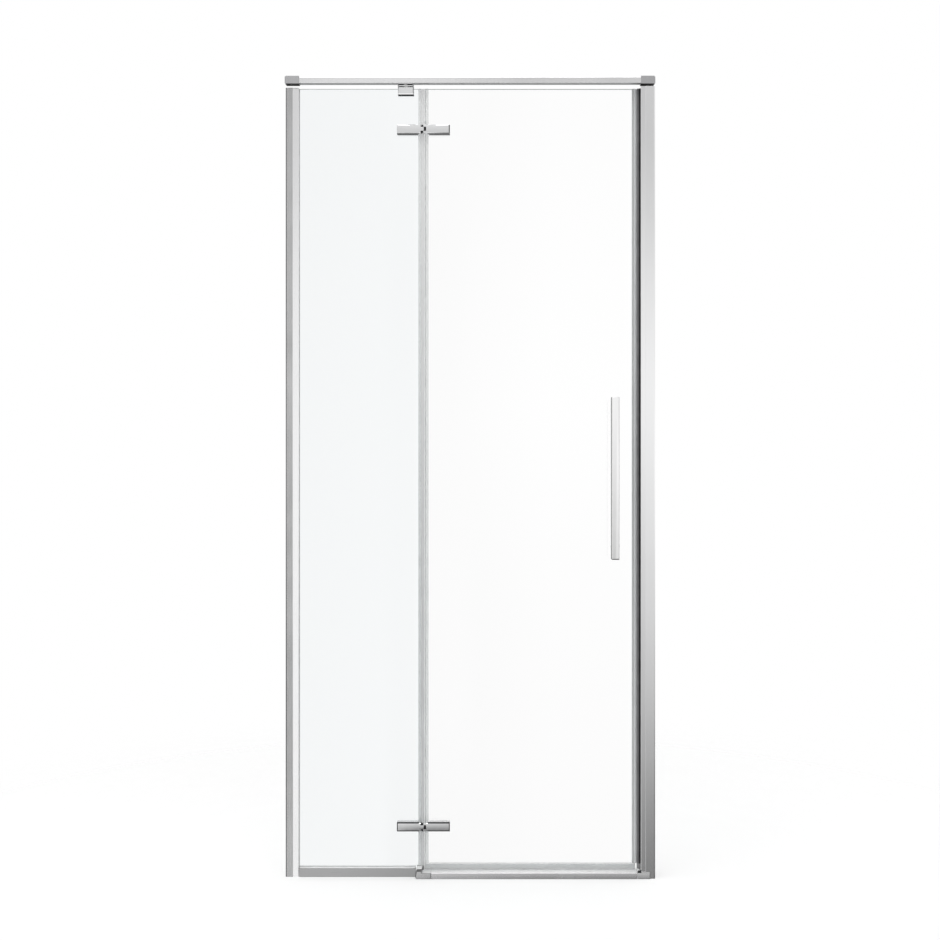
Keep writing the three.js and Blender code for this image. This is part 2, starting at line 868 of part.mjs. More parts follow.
function hinge_leaf(side) {
  const half = hinge_height / 2;
  const front = -knuckle_radius;
  const plan = [
    [hinge_neck_from_axis, front],
    [hinge_leaf_reach - hinge_end_chamfer, front],
    [hinge_leaf_reach, front + hinge_end_chamfer],
    [hinge_leaf_reach, hinge_body_depth],
    [hinge_body_from_axis, hinge_body_depth],
    [hinge_body_from_axis, knuckle_radius],
    [hinge_neck_from_axis, knuckle_radius],
  ];
  const side_view = [
    [front, hinge_edge_chamfer - half],
    [front + hinge_edge_chamfer, -half],
    [hinge_body_depth, -half],
    [hinge_body_depth, half],
    [front + hinge_edge_chamfer, half],
    [front, half - hinge_edge_chamfer],
  ];
  const reach = hinge_leaf_reach + overrun;
  const bar = prism("z", mirrored(side, plan), -half, half).intersect(prism("x", side_view, -reach, reach));
  const link_end = hinge_neck_from_axis + overrun;
  const links = knuckle_rows(side).flatMap((row) => [
    rod("z", 0, 0, knuckle_radius, row[0], row[1], round_sides),
    prism("z", mirrored(side, rectangle(0, link_end, front, knuckle_radius)), row[0], row[1]),
  ]);
  const pin_bore = rod("z", 0, 0, pin_radius + bore_gap, -half - overrun, half + overrun);
  const deep = hinge_body_depth - hinge_screw_engagement - seat_gap;
  const screw_bores = hinge_screw_places.map((x) =>
    rod("y", side * x, 0, screw_shank_radius + bore_gap, deep, hinge_body_depth + overrun),
  );
  return cut(joined([bar, ...links]), [pin_bore, ...screw_bores]);
}

function hinge_plate_back() {
  return hinge_axis_forward + grip + hinge_plate_thickness;
}

function hinge_plate(side) {
  const half = hinge_height / 2;
  const front = hinge_axis_forward + grip;
  const back = hinge_plate_back();
  const plan = [
    [hinge_body_from_axis, front],
    [hinge_leaf_reach, front],
    [hinge_leaf_reach, back - hinge_edge_chamfer],
    [hinge_leaf_reach - hinge_edge_chamfer, back],
    [hinge_body_from_axis + hinge_edge_chamfer, back],
    [hinge_body_from_axis, back - hinge_edge_chamfer],
  ];
  const plate = prism("z", mirrored(side, plan), -half, half);
  const depth = hinge_plate_thickness + overrun;
  const sinks = hinge_screw_places.map((x) => countersink(side * x, back, 0, depth));
  return cut(plate, sinks);
}

function hinge_pin() {
  const half = hinge_height / 2 - pin_recess;
  return rod("z", 0, 0, pin_radius, -half, half);
}

// Handle

function handle_bar() {
  const half = handle_width / 2;
  const front = -handle_forward;
  const outline = [
    [handle_x - half + handle_chamfer, front],
    [handle_x + half - handle_chamfer, front],
    [handle_x + half, front + handle_chamfer],
    [handle_x + half, handle_back - handle_chamfer],
    [handle_x + half - handle_chamfer, handle_back],
    [handle_x - half + handle_chamfer, handle_back],
    [handle_x - half, handle_back - handle_chamfer],
    [handle_x - half, front + handle_chamfer],
  ];
  const bottom = handle_mid_height - handle_length / 2;
  const bar = prism("z", outline, bottom, bottom + handle_length);
  const deep = handle_back - stud_engagement - seat_gap;
  const bores = post_heights().map((z) =>
    rod("y", handle_x, z, stud_radius + bore_gap, deep, handle_back + overrun),
  );
  return cut(bar, bores);
}

// A post along Y with a stud at each end: into the bar, and through the pane into the button.
function handle_post() {
  const collar_front = handle_back + seat_gap;
  const rear = half_glass + seat_gap + button_bore_depth - seat_gap;
  return turned([
    [0, handle_back - stud_engagement],
    [stud_radius, handle_back - stud_engagement],
    [stud_radius, collar_front],
    [post_radius, collar_front],
    [post_radius, -grip],
    [stud_radius, -grip],
    [stud_radius, rear],
    [0, rear],
  ]);
}

function handle_button() {
  const end = grip + button_length;
  const bore = stud_radius + bore_gap;
  return turned([
    [0, grip + button_bore_depth],
    [bore, grip + button_bore_depth],
    [bore, grip],
    [button_radius, grip],
    [button_radius, end - button_chamfer],
    [button_radius - button_chamfer, end],
    [0, end],
  ]);
}

// Assembly

const shower_door = new THREE.Group();
shower_door.name = "pivot_shower_door";

// What opens hangs in its own group on the hinge axis: turning door.rotation.z by a negative angle opens it.
const door = new THREE.Group();
door.position.set(axis_x, axis_y, 0);
shower_door.add(door);

const frame_pieces = new THREE.Group();
shower_door.add(frame_pieces);

const door_pieces = new THREE.Group();
door_pieces.position.set(-axis_x, -axis_y, 0);
door.add(door_pieces);

function place(group, name, solid, finish, x = 0, y = 0, z = 0) {
  const mesh = new THREE.Mesh(geometry_of(solid), new THREE.MeshStandardMaterial(finishes[finish]));
  mesh.name = name;
  mesh.position.set(x, y, z);
  group.add(mesh);
}

place(frame_pieces, "wall_channel_left", wall_channel(-1, left_channel_reach, left_half_depth), "aluminium");
place(frame_pieces, "wall_channel_right", wall_channel(1, right_channel_reach, right_front), "aluminium");
place(frame_pieces, "glazing_profile_left", glazing_profile(), "aluminium");
place(frame_pieces, "strike_profile_right", strike_profile(), "aluminium");
place(frame_pieces, "side_gasket", side_gasket(), "grey_rubber");
place(frame_pieces, "rail_gasket", rail_gasket(), "grey_rubber");
place(frame_pieces, "bottom_rail", bottom_rail(), "aluminium");
place(frame_pieces, "fixed_glass", fixed_glass(), "glass");
place(frame_pieces, "fixed_edge_seal", fixed_edge_seal(), "clear_vinyl");
place(frame_pieces, "magnet_carrier", magnet_carrier(), "grey_rubber");
place(frame_pieces, "strike_magnet", strike_magnet(), "magnet_black");
place(frame_pieces, "threshold_bar", threshold_bar(), "aluminium");
place(frame_pieces, "threshold_block_left", threshold_block_left(), "chrome");
place(frame_pieces, "threshold_block_right", threshold_block_right(), "chrome");
place(frame_pieces, "header_rail", header_rail(), "aluminium");
place(frame_pieces, "glass_clamp_body", clamp_body(), "chrome");
place(frame_pieces, "glass_clamp_plate", clamp_plate(), "chrome");
place(
  frame_pieces,
  "clamp_jaw_screw",
  countersunk_screw(clamp_jaw_screw_length()),
  "steel",
  clamp_x,
  clamp_plate_back(),
  clamp_screw_z(),
);
place(
  frame_pieces,
  "clamp_rail_screw",
  clamp_rail_screw(),
  "steel",
  clamp_x,
  clamp_screw_y(),
  clamp_top - clamp_flange_thickness,
);

const sides = { left: -1, right: 1 };
for (const [label, side] of Object.entries(sides)) {
  place(frame_pieces, `header_bracket_${label}`, header_bracket(side), "chrome");
  place(frame_pieces, `header_wall_plate_${label}`, header_wall_plate(side), "steel");
  place(frame_pieces, `rail_grub_screw_${label}`, rail_grub_screw(side), "steel");
  profile_screw_places(side).forEach(([x, z], i) => {
    const name = `profile_screw_${label}_${i + 1}`;
    place(frame_pieces, name, pan_screw(), "steel", x, left_half_depth + seat_gap, z);
  });
}

const hinges = { lower: lower_hinge_height, upper: upper_hinge_height };
for (const [label, z] of Object.entries(hinges)) {
  place(frame_pieces, `hinge_pin_${label}`, hinge_pin(), "steel", axis_x, axis_y, z);
  const leaves = { fixed: [-1, frame_pieces], door: [1, door_pieces] };
  for (const [kind, [side, group]] of Object.entries(leaves)) {
    place(group, `hinge_${kind}_leaf_${label}`, hinge_leaf(side), "chrome", axis_x, axis_y, z);
    place(group, `hinge_${kind}_plate_${label}`, hinge_plate(side), "chrome", axis_x, axis_y, z);
    hinge_screw_places.forEach((from_axis, i) => {
      const screw = countersunk_screw(hinge_screw_length);
      const y = axis_y + hinge_plate_back();
      place(group, `hinge_${kind}_screw_${label}_${i + 1}`, screw, "steel", axis_x + side * from_axis, y, z);
    });
  }
}

place(door_pieces, "door_glass", door_glass(), "glass");
place(door_pieces, "door_hinge_seal", door_hinge_seal(), "clear_vinyl");
place(door_pieces, "door_strike_seal", door_strike_seal(), "clear_vinyl");
place(door_pieces, "door_magnet", door_magnet(), "magnet_black");
place(door_pieces, "door_bottom_seal", door_bottom_seal(), "clear_vinyl");
place(door_pieces, "handle_bar", handle_bar(), "chrome");
Object.keys(hinges).forEach((label, i) => {
  const z = post_heights()[i];
  place(door_pieces, `handle_post_${label}`, handle_post(), "chrome", handle_x, 0, z);
  place(door_pieces, `handle_button_${label}`, handle_button(), "chrome", handle_x, 0, z);
});

export default shower_door;
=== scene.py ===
import math
from functools import partial

import bmesh
import bpy
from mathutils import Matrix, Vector


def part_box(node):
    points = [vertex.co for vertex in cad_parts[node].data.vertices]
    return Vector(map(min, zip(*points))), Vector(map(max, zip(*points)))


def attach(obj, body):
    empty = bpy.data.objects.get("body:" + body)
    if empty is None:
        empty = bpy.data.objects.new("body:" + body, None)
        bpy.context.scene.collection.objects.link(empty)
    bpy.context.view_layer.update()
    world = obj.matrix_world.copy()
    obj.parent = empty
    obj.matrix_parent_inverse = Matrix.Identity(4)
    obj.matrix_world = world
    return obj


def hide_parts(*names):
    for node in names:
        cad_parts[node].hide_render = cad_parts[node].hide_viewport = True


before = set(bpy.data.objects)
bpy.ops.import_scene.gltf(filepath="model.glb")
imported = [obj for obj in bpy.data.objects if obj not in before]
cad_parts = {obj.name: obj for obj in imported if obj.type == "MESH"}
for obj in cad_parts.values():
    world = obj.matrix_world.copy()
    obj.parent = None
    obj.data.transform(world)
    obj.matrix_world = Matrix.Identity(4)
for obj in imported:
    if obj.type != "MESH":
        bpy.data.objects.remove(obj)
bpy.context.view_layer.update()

bl_info = {
    "name": "Pivot shower door",
    "version": (1, 0, 0),
    "blender": (4, 5, 0),
    "location": "View3D > Sidebar > Shower door",
    "description": "Dresses the frame of a pivot shower door with softened metalwork, glass and seals",
    "category": "Object",
}

FIXED = "frame"
SWINGING = "door"

# How near a point has to be to a plane to count as lying on it, and to an edge to count as next to it.
ON_PLANE = 1e-5
NEAR = 1e-4

# The share of a face's normal along an axis from which the face counts as square to it.
SQUARE = 0.9


# Settings


def length(name, description, default, low=0.0, high=1.0):
    return bpy.props.FloatProperty(
        name=name,
        description=description,
        default=default,
        min=low,
        max=high,
        precision=4,
        subtype="DISTANCE",
        unit="LENGTH",
    )


def share(name, description, default):
    return bpy.props.FloatProperty(
        name=name,
        description=description,
        default=default,
        min=0.0,
        max=1.0,
        subtype="FACTOR",
    )


def power(name, description, default):
    return bpy.props.FloatProperty(
        name=name,
        description=description,
        default=default,
        min=0.0,
        unit="POWER",
    )


def colour(name, description, default):
    return bpy.props.FloatVectorProperty(
        name=name,
        description=description,
        default=default,
        min=0.0,
        max=1.0,
        size=3,
        subtype="COLOR",
    )


class ShowerProfileSettings(bpy.types.PropertyGroup):
    outer_band: length(
        "Outer band", "Width of the steeper band at the outer edge of a channel's face", 0.0028
    )
    outer_drop: length("Outer drop", "How far that band falls back over its width", 0.0012)
    face_slope: length(
        "Face slope", "How far the outer edge of a channel's face lies behind its inner edge", 0.0009
    )
    edge: length("Edge", "Radius of the small edges of an extrusion", 0.0003)
    rail_edge: length("Rail edge", "Radius of the long edges of the header rail", 0.0016)
    bottom_rail_edge: length("Bottom rail edge", "Radius of the long edges of the bottom rail", 0.0012)
    threshold_edge: length("Threshold edge", "Radius of the front edge of the threshold bar", 0.001)
    block_edge: length("Block edge", "Radius of the edges of the threshold blocks", 0.0018)
    front_lean: length("Front lean", "How far the front of the threshold leans back at its top", 0.0012)
    metal: colour("Metal", "Colour of the bright extrusions", (0.97, 0.97, 0.975))
    # Painted shade: a darker copy of the aluminium for the left channel's steeper band.
    band_shade_paint: colour("Band", "Colour of the steeper band of the left channel", (0.27, 0.27, 0.272))
    # Painted shade: darker copies of the bright aluminium for the threshold, its left block and the bottom
    # rail, standing for the dark reflection low down.
    low_shade_paint: colour("Low metal", "Colour of the threshold", (0.72, 0.72, 0.725))
    rail_shade_paint: colour("Rail metal", "Colour of the bottom rail", (0.57, 0.57, 0.575))
    # Painted light: a lighter, half-metal copy of the aluminium for the tops.
    top_colour_painted_light: colour(
        "Matt top", "Colour of the matt tops of the threshold and the bottom rail", (0.98, 0.98, 0.98)
    )
    # Painted shade: a darker copy of the aluminium for the header rail's underside.
    underside_shade_paint: colour("Underside", "Colour of the dull underside of the header rail", (0.34, 0.34, 0.345))
    gloss: share("Roughness", "Roughness of the extrusions", 0.16)


class ShowerFittingSettings(bpy.types.PropertyGroup):
    edge: length("Edge", "Radius of the edges of a fitting", 0.0004)
    leaf_edge: length("Leaf edge", "Radius of the edges of a hinge leaf", 0.0007)
    bracket_edge: length("Bracket edge", "Radius of the edges of a header bracket", 0.0009)
    knuckle_chamfer: length("Knuckle chamfer", "Width of the chamfer at the ends of a knuckle", 0.0009)
    crown: length("Crown", "How far the face of a hinge or the clamp stands out in the middle", 0.00035)
    handle_edge: length("Handle edge", "Radius of the handle's long front edge on the hinge side", 0.0015)
    handle_round: length("Handle round", "Radius of the handle's other long front edge", 0.009)
    handle_end: length("Handle end", "Radius of the other edges of the handle", 0.0011)
    chrome: colour("Chrome", "Colour of the hinges and the clamp", (0.88, 0.885, 0.89))
    bracket: colour("Bracket", "Colour of the header brackets", (0.62, 0.62, 0.63))
    handle: colour("Handle", "Colour of the handle", (0.96, 0.96, 0.96))
    # Painted shade: the near-black colour of the edges, undersides and knuckle gaps of the fittings.
    edge_shade_paint: colour("Edging", "Colour of the satin sides of the hinges and the clamp", (0.06, 0.06, 0.062))
    steel: colour("Steel", "Colour of the screws and pins", (0.62, 0.62, 0.61))
    gloss: share("Roughness", "Roughness of the polished fittings", 0.1)


class ShowerGlassSettings(bpy.types.PropertyGroup):
    arris: length("Arris", "Width of the ground arris on the edges of a pane", 0.001)
    fixed_tint: colour("Fixed pane", "Tint of the fixed pane", (0.93, 0.945, 0.95))
    door_tint: colour("Door pane", "Tint of the door pane", (1.0, 1.0, 1.0))
    ground_edge: colour("Ground edge", "Colour of the ground edge of a pane", (0.17, 0.21, 0.2))


class ShowerSealSettings(bpy.types.PropertyGroup):
    edge: length("Edge", "Radius of the edges of a seal", 0.0004)
    vinyl: colour("Vinyl", "Colour of the clear seals", (0.8, 0.815, 0.82))
    # Painted light: the fixed and hinge seals get lighter copies of the clear vinyl.
    smoky_vinyl: colour("Smoky vinyl", "Colour of the fixed pane's edge seal", (0.84, 0.85, 0.855))
    # Painted shade: a darker copy of the clear vinyl for the rims, the strike seal's band and the bottom
    # seal's skirt band.
    vinyl_rim: colour("Vinyl rim", "Colour of the thick rims of the upright seals", (0.45, 0.46, 0.46))
    clean_vinyl: colour("Clean vinyl", "Colour of the door's hinge side seal", (0.92, 0.93, 0.93))
    gasket: colour("Gasket", "Colour of the gaskets of the fixed pane", (0.7, 0.71, 0.71))
    # Painted light: a paler copy of the gasket for the one in the bottom rail.
    pale_gasket_painted_light: colour("Pale gasket", "Colour of the gasket in the bottom rail", (0.96, 0.96, 0.96))
    carrier: colour("Carrier", "Colour of the magnet carrier", (0.2, 0.2, 0.205))
    # The carrier's black front lip is painted shadow.
    lip_inset: length("Lip inset", "From the carrier's outer side to its front lip", 0.0038)
    lip_width: length("Lip width", "Width of the carrier's front lip", 0.0019)
    lip_depth: length("Lip depth", "How far the carrier's front lip stands out", 0.0024)
    foot: colour(
        "Foot", "Colour of the small plugs under the seal and the magnet carrier", (0.3, 0.3, 0.305)
    )
    seal_foot_width: length("Seal foot width", "Width of the foot under the fixed edge seal", 0.0048)
    # The black pad on the right block is painted shadow.
    pad_height: length("Pad height", "Height of the black pad on the right block", 0.0038)
    pad_depth: length("Pad depth", "Depth of the black pad on the right block", 0.0085)
    pad_width: length("Pad width", "Width of the black pad on the right block", 0.0088)
    # Painted shade on the fixed seal beyond the pane's edge, and painted light on the bottom seal's thin
    # lips.
    lip_vinyl: colour(
        "Lip", "Colour of the fixed pane's edge seal beyond the edge of the pane", (0.66, 0.67, 0.675)
    )
    thin_vinyl: colour(
        "Thin vinyl", "Colour of the thin upper lips of the door's bottom seal", (0.97, 0.97, 0.97)
    )
    lips_height: length("Lips height", "Height of the thin upper lips of the door's bottom seal", 0.0035)
    # The darker band on the skirt is painted shadow.
    skirt_start: length("Skirt start", "From the foot of the door's bottom seal to its darker band", 0.0014)
    skirt_height: length("Skirt height", "Height of the darker band of the door's bottom seal", 0.0026)
    foot_gap: length("Foot gap", "Gap above and below the plug under the magnet carrier", 0.0003)
    foot_inset: length("Foot inset", "How far the plug lies behind the carrier's face", 0.0004)
    # Painted shadow: the black of the strips and pads put into gaps.
    rubber: colour("Rubber", "Colour of the gaskets and pads", (0.03, 0.03, 0.032))
    magnet: colour("Magnet", "Colour of the magnet strips", (0.035, 0.033, 0.032))


class ShowerStageSettings(bpy.types.PropertyGroup):
    camera_distance: length("Camera distance", "From the camera to the middle of the glass", 3.2, 0.5, 20.0)
    camera_height: length("Camera height", "Height of the camera above the floor", 0.993, 0.0, 5.0)
    lens: bpy.props.FloatProperty(
        name="Lens",
        description="Focal length of the camera",
        default=50.0,
        min=10.0,
        subtype="DISTANCE_CAMERA",
    )
    key_power: power("Key lamp", "Power of the large lamp above the front", 38.0)
    fill_power: power("Fill lamp", "Power of each side lamp", 14.0)
    floor: colour("Floor", "Colour of the floor", (0.8, 0.8, 0.8))
    glow: share("Glow", "Light that the floor gives off to match the backdrop", 0.24)
    wall_skirt: length("Wall skirt", "How far a studio wall goes on below its greys", 10.0, 0.0, 20.0)
    wall_distance: length(
        "Wall distance", "From the glass to the graded wall behind the camera", 5.0, 3.5, 20.0
    )
    wall_width: length("Wall width", "Width of the graded wall", 22.0, 1.0, 40.0)
    wall_base: length("Wall base", "Height of the foot of the graded wall", -2.4, -5.0, 5.0)
    wall_height: length("Wall height", "Height of the graded wall", 7.0, 1.0, 20.0)


SETTINGS = {
    "shower_profiles": ShowerProfileSettings,
    "shower_fittings": ShowerFittingSettings,
    "shower_glass": ShowerGlassSettings,
    "shower_seals": ShowerSealSettings,
    "shower_stage": ShowerStageSettings,
}


# Shapes


def merge_doubles(bm):
    bmesh.ops.remove_doubles(bm, verts=bm.verts, dist=1e-6)


def merged_copy(node):
    """A bmesh of a CAD node with its loose triangles joined into whole flat faces."""
    bm = bmesh.new()
    bm.from_mesh(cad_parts[node].data)
    merge_doubles(bm)
    bmesh.ops.dissolve_limit(bm, angle_limit=math.radians(0.5), verts=bm.verts, edges=bm.edges)
    return bm


def block(low, high):
    """A bmesh of a box from its lowest to its highest corner."""
    bm = bmesh.new()
    cube = bmesh.ops.create_cube(bm, size=1.0)
    size = Vector(high) - Vector(low)
    bmesh.ops.scale(bm, verts=cube["verts"], vec=size)
    bmesh.ops.translate(bm, verts=cube["verts"], vec=(Vector(low) + Vector(high)) / 2)
    return bm


def on_plane(value, *levels):
    return min(abs(value - level) for level in levels) < ON_PLANE


def runs_along(edge, axis):
    one, other = edge.verts
    step = other.co - one.co
    return step.length > 0 and abs(step.normalized()["xyz".index(axis)]) > 0.999


def round_edges(bm, edges, radius, segments=3):
    if edges and radius > 0:
        bmesh.ops.bevel(
            bm,
            geom=edges,
            offset=radius,
            offset_type="OFFSET",
            affect="EDGES",
            segments=segments,
            profile=0.5,
            material=-1,
            clamp_overlap=True,
        )


def long_edges(bm, axis, test):
    """The edges that run along an axis and whose middle point passes the test."""
    found = []
    for edge in bm.edges:
        if runs_along(edge, axis) and test((edge.verts[0].co + edge.verts[1].co) / 2):
            found.append(edge)
    return found


def sharp_edges(bm, least=40):
    """The edges whose two faces meet at more than a least angle, in degrees."""
    limit = math.radians(least)
    return [e for e in bm.edges if len(e.link_faces) == 2 and e.calc_face_angle(0) > limit]


def round_sharp(bm, radius, segments=2, least=40):
    round_edges(bm, sharp_edges(bm, least), radius, segments)


def cross_cuts(bm, axis, places):
    """Cuts every face at the given places along an axis."""
    normal = Vector([float(axis == name) for name in "xyz"])
    for place in places:
        geom = bm.verts[:] + bm.edges[:] + bm.faces[:]
        bmesh.ops.bisect_plane(bm, geom=geom, dist=1e-7, plane_co=normal * place, plane_no=normal)


def crown_front(bm, front, depth, sag, steps=6, crest=0.5):
    """Sinks a front face away from its crest, a share of its height, so that it bulges a little."""
    heights = [v.co.z for v in bm.verts]
    low, high = min(heights), max(heights)
    middle, half = low + (high - low) * crest, (high - low) * (1 - crest)
    cross_cuts(bm, "z", [low + (high - low) * (i + 1) / (steps + 1) for i in range(steps)])
    for v in bm.verts:
        if v.co.y < front + depth:
            v.co.y += sag * ((v.co.z - middle) / half) ** 2


def mark_faces(bm, test):
    """Gives each face the finish whose number the test returns for its normal and middle point."""
    bm.normal_update()
    for face in bm.faces:
        face.material_index = int(test(face.normal, face.calc_center_median_weighted()))


def keep_within(bm, node):
    """Brings back what a bevel pushed past a node's own box."""
    low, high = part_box(node)
    for v in bm.verts:
        v.co = [min(max(v.co[i], low[i]), high[i]) for i in range(3)]


def add_piece(bm, name, body, slot, materials, *nodes, smooth=50):
    """Makes the object of a finished bmesh, which rides on a body and stands for CAD nodes.

    Its shading breaks at edges sharper than smooth, in degrees.
    """
    if not bm.faces:
        raise RuntimeError(f"{name} has no faces")
    mesh = bpy.data.meshes.new(name)
    bm.to_mesh(mesh)
    bm.free()
    for material in materials:
        mesh.materials.append(material)
    mesh.shade_smooth()
    mesh.set_sharp_from_angle(angle=math.radians(smooth))
    piece = bpy.data.objects.new(name, mesh)
    bpy.context.scene.collection.objects.link(piece)
    even = piece.modifiers.new("even_shading", "WEIGHTED_NORMAL")
    even.keep_sharp = True
    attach(piece, body)
    if nodes:
        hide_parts(*nodes)


def finish_node(node, material):
    """Gives a CAD node whose shape is right its finish."""
    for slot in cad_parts[node].material_slots:
        slot.material = material


def add_plated(node, name, body, material, radius, least=40):
    """A plain fitting: a CAD node with its sharp edges rounded."""
    bm = merged_copy(node)
    round_sharp(bm, radius, 2, least)
    add_piece(bm, name, body, "chrome_fitting", [material], node)


def add_block(name, low, high, radius, material):
    """A small fixed block of rubber or plastic, which stands for no CAD node."""
    bm = block(low, high)
    round_sharp(bm, radius)
    add_piece(bm, name, FIXED, "grey_rubber", [material])


# Finishes


WHITE = (1.0, 1.0, 1.0, 1.0)


def node_in(tree, kind, inputs=None, **settings):
    """A new shader node. An input is a value, or the socket that feeds it."""
    node = tree.nodes.new(kind)
    for key, value in settings.items():
        setattr(node, key, value)
    for key, value in (inputs or {}).items():
        if isinstance(value, bpy.types.NodeSocket):
            tree.links.new(value, node.inputs[key])
        else:
            node.inputs[key].default_value = value
    return node


def built_once(surface):
    """Turns a function that builds a surface in a node tree into one that takes a material's name first.

    The material is made at the first call for a name and used again at the later ones.
    """

    def material_named(name, *values, **options):
        material = bpy.data.materials.get(name)
        if material is None:
            material = bpy.data.materials.new(name)
            material.use_nodes = True
            tree = material.node_tree
            tree.nodes.clear()
            shader = surface(tree, *values, **options)
            node_in(tree, "ShaderNodeOutputMaterial", {"Surface": shader})
        return material

    return material_named


def principled(tree, inputs):
    return node_in(tree, "ShaderNodeBsdfPrincipled", inputs).outputs["BSDF"]


def math_of(tree, operation, one, other):
    return node_in(tree, "ShaderNodeMath", {0: one, 1: other}, operation=operation).outputs["Value"]


def colour_mix(tree, factor, one, other):
    mix = node_in(tree, "ShaderNodeMix", {0: factor, 6: one, 7: other}, data_type="RGBA")
    return mix.outputs[2]


def shader_mix(tree, factor, one, other):
    return node_in(tree, "ShaderNodeMixShader", {0: factor, 1: one, 2: other}).outputs["Shader"]


def ramp_in(tree, factor, stops):
    """A colour ramp fed by a factor, with stops as (place, grey level or colour)."""
    ramp = node_in(tree, "ShaderNodeValToRGB", {"Fac": factor})
    elements = ramp.color_ramp.elements
    while len(elements) > 1:
        elements.remove(elements[-1])
    for i, (place, level) in enumerate(stops):
        element = elements[0] if i == 0 else elements.new(place)
        element.position = place
        element.color = (*level, 1.0) if hasattr(level, "__len__") else (level, level, level, 1.0)
    return ramp.outputs["Color"]


def coordinate(tree, axis):
    """The object coordinate along an axis, in metres."""
    place = node_in(tree, "ShaderNodeTexCoord")
    parts = node_in(tree, "ShaderNodeSeparateXYZ", {"Vector": place.outputs["Object"]})
    return parts.outputs[axis]


def pattern(tree, scale, detail=3.0, roughness=0.5):
    """Noise on object coordinates, in bumps per metre: one number, or one for each axis."""
    stretch = scale if hasattr(scale, "__len__") else (scale, scale, scale)
    place = node_in(tree, "ShaderNodeTexCoord")
    spread = node_in(tree, "ShaderNodeMapping", {"Vector": place.outputs["Object"], "Scale": stretch})
    inputs = {"Vector": spread.outputs["Vector"], "Scale": 1.0, "Detail": detail, "Roughness": roughness}
    return node_in(tree, "ShaderNodeTexNoise", inputs).outputs["Fac"]


def drawn_lines(tree, axis, across, along, roughness):
    """Fine lines along an axis, as a die leaves them on what is drawn through it."""
    return pattern(tree, [along if name == axis else across for name in "xyz"], 2.0, roughness)


def between(tree, factor, low, high, start=0.3, end=0.7):
    """A value that runs from low to high as a factor runs from start to end."""
    inputs = {"Value": factor, "From Min": start, "From Max": end, "To Min": low, "To Max": high}
    return node_in(tree, "ShaderNodeMapRange", inputs).outputs["Result"]


def smooth_step(tree, value, start, end):
    """A value that eases from 0 to 1 as another runs from start to end."""
    inputs = {"Value": value, "From Min": start, "From Max": end}
    return node_in(tree, "ShaderNodeMapRange", inputs, interpolation_type="SMOOTHSTEP").outputs["Result"]


def shade_range(tree, factor, base, less):
    """A colour that varies between a base and the same colour a little darker."""
    dark = [c * (1 - less) for c in base]
    return ramp_in(tree, factor, [(0.3, dark), (0.7, list(base))])


def uneven(tree, factor, roughness, start=0.3, end=0.7):
    """A roughness that varies a little around its plain value."""
    return between(tree, factor, roughness - 0.03, roughness + 0.04, start, end)


def bumped(tree, height, strength, distance=0.0001):
    inputs = {"Height": height, "Strength": strength, "Distance": distance}
    return node_in(tree, "ShaderNodeBump", inputs).outputs["Normal"]


@built_once
def drawn_metal(tree, base, roughness, axis, metallic=1.0):
    """An extrusion: fine lines along its length from the die, over broad faint clouds."""
    lines = drawn_lines(tree, axis, 2200.0, 14.0, 0.6)
    clouds = pattern(tree, 6.0)
    inputs = {
        "Base Color": shade_range(tree, clouds, base, 0.03),
        "Metallic": metallic,
        "Roughness": uneven(tree, math_of(tree, "ADD", lines, clouds), roughness, 0.7, 1.3),
        "Normal": bumped(tree, lines, 0.05),
    }
    return principled(tree, inputs)


@built_once
def polished_metal(tree, base, roughness, grazing=1.0):
    """A plated fitting: nearly a mirror, with faint ripples and wiped patches."""
    ripples = pattern(tree, 90.0, 2.0, 0.4)
    patches = pattern(tree, 28.0, 4.0, 0.6)
    inputs = {
        "Base Color": shade_range(tree, patches, base, 0.025),
        "Metallic": 1.0,
        "Specular Tint": (grazing, grazing, grazing, 1.0),
        "Roughness": uneven(tree, patches, roughness),
        "Normal": bumped(tree, ripples, 0.04, 0.0004),
    }
    return principled(tree, inputs)


@built_once
def turned_steel(tree, base):
    """A screw or pin: fine scratches and a grainy dull shine."""
    grain = pattern(tree, 1500.0, 3.0, 0.6)
    inputs = {
        "Base Color": shade_range(tree, grain, base, 0.12),
        "Metallic": 1.0,
        "Roughness": between(tree, grain, 0.26, 0.4),
        "Normal": bumped(tree, grain, 0.12),
    }
    return principled(tree, inputs)


def lamp_clear(tree, shader, passed):
    """Lets lamp rays through a see-through shader, so that it casts only a light shadow."""
    path = node_in(tree, "ShaderNodeLightPath")
    clear = node_in(tree, "ShaderNodeBsdfTransparent", {"Color": (*passed, 1.0)})
    soft = math_of(tree, "MAXIMUM", path.outputs["Is Shadow Ray"], path.outputs["Is Diffuse Ray"])
    return shader_mix(tree, soft, shader, clear.outputs["BSDF"])


@built_once
def pane_glass(tree, tint, start_x, end_x, fade):
    """Clear glass whose tint grows a little towards one side, with faint dried drops."""
    across = between(tree, coordinate(tree, "X"), 0.0, 1.0, start_x, end_x)
    start = [c * (1 - fade) for c in tint]
    drops = pattern(tree, (35.0, 35.0, 12.0), 4.0, 0.6)
    inputs = {
        "Base Color": ramp_in(tree, across, [(0.0, start), (1.0, list(tint))]),
        "Roughness": between(tree, drops, 0.0, 0.012, 0.55, 0.75),
        "IOR": 1.5,
        "Transmission Weight": 1.0,
    }
    return lamp_clear(tree, principled(tree, inputs), (0.95, 0.96, 0.96))


@built_once
def ground_glass(tree, base):
    """The ground edge of a pane: dull, faintly green and a little see-through."""
    grain = pattern(tree, 900.0, 3.0, 0.6)
    inputs = {
        "Base Color": shade_range(tree, grain, base, 0.2),
        "Roughness": between(tree, grain, 0.4, 0.6),
        "IOR": 1.5,
        "Transmission Weight": 0.3,
        "Normal": bumped(tree, grain, 0.2),
    }
    return principled(tree, inputs)


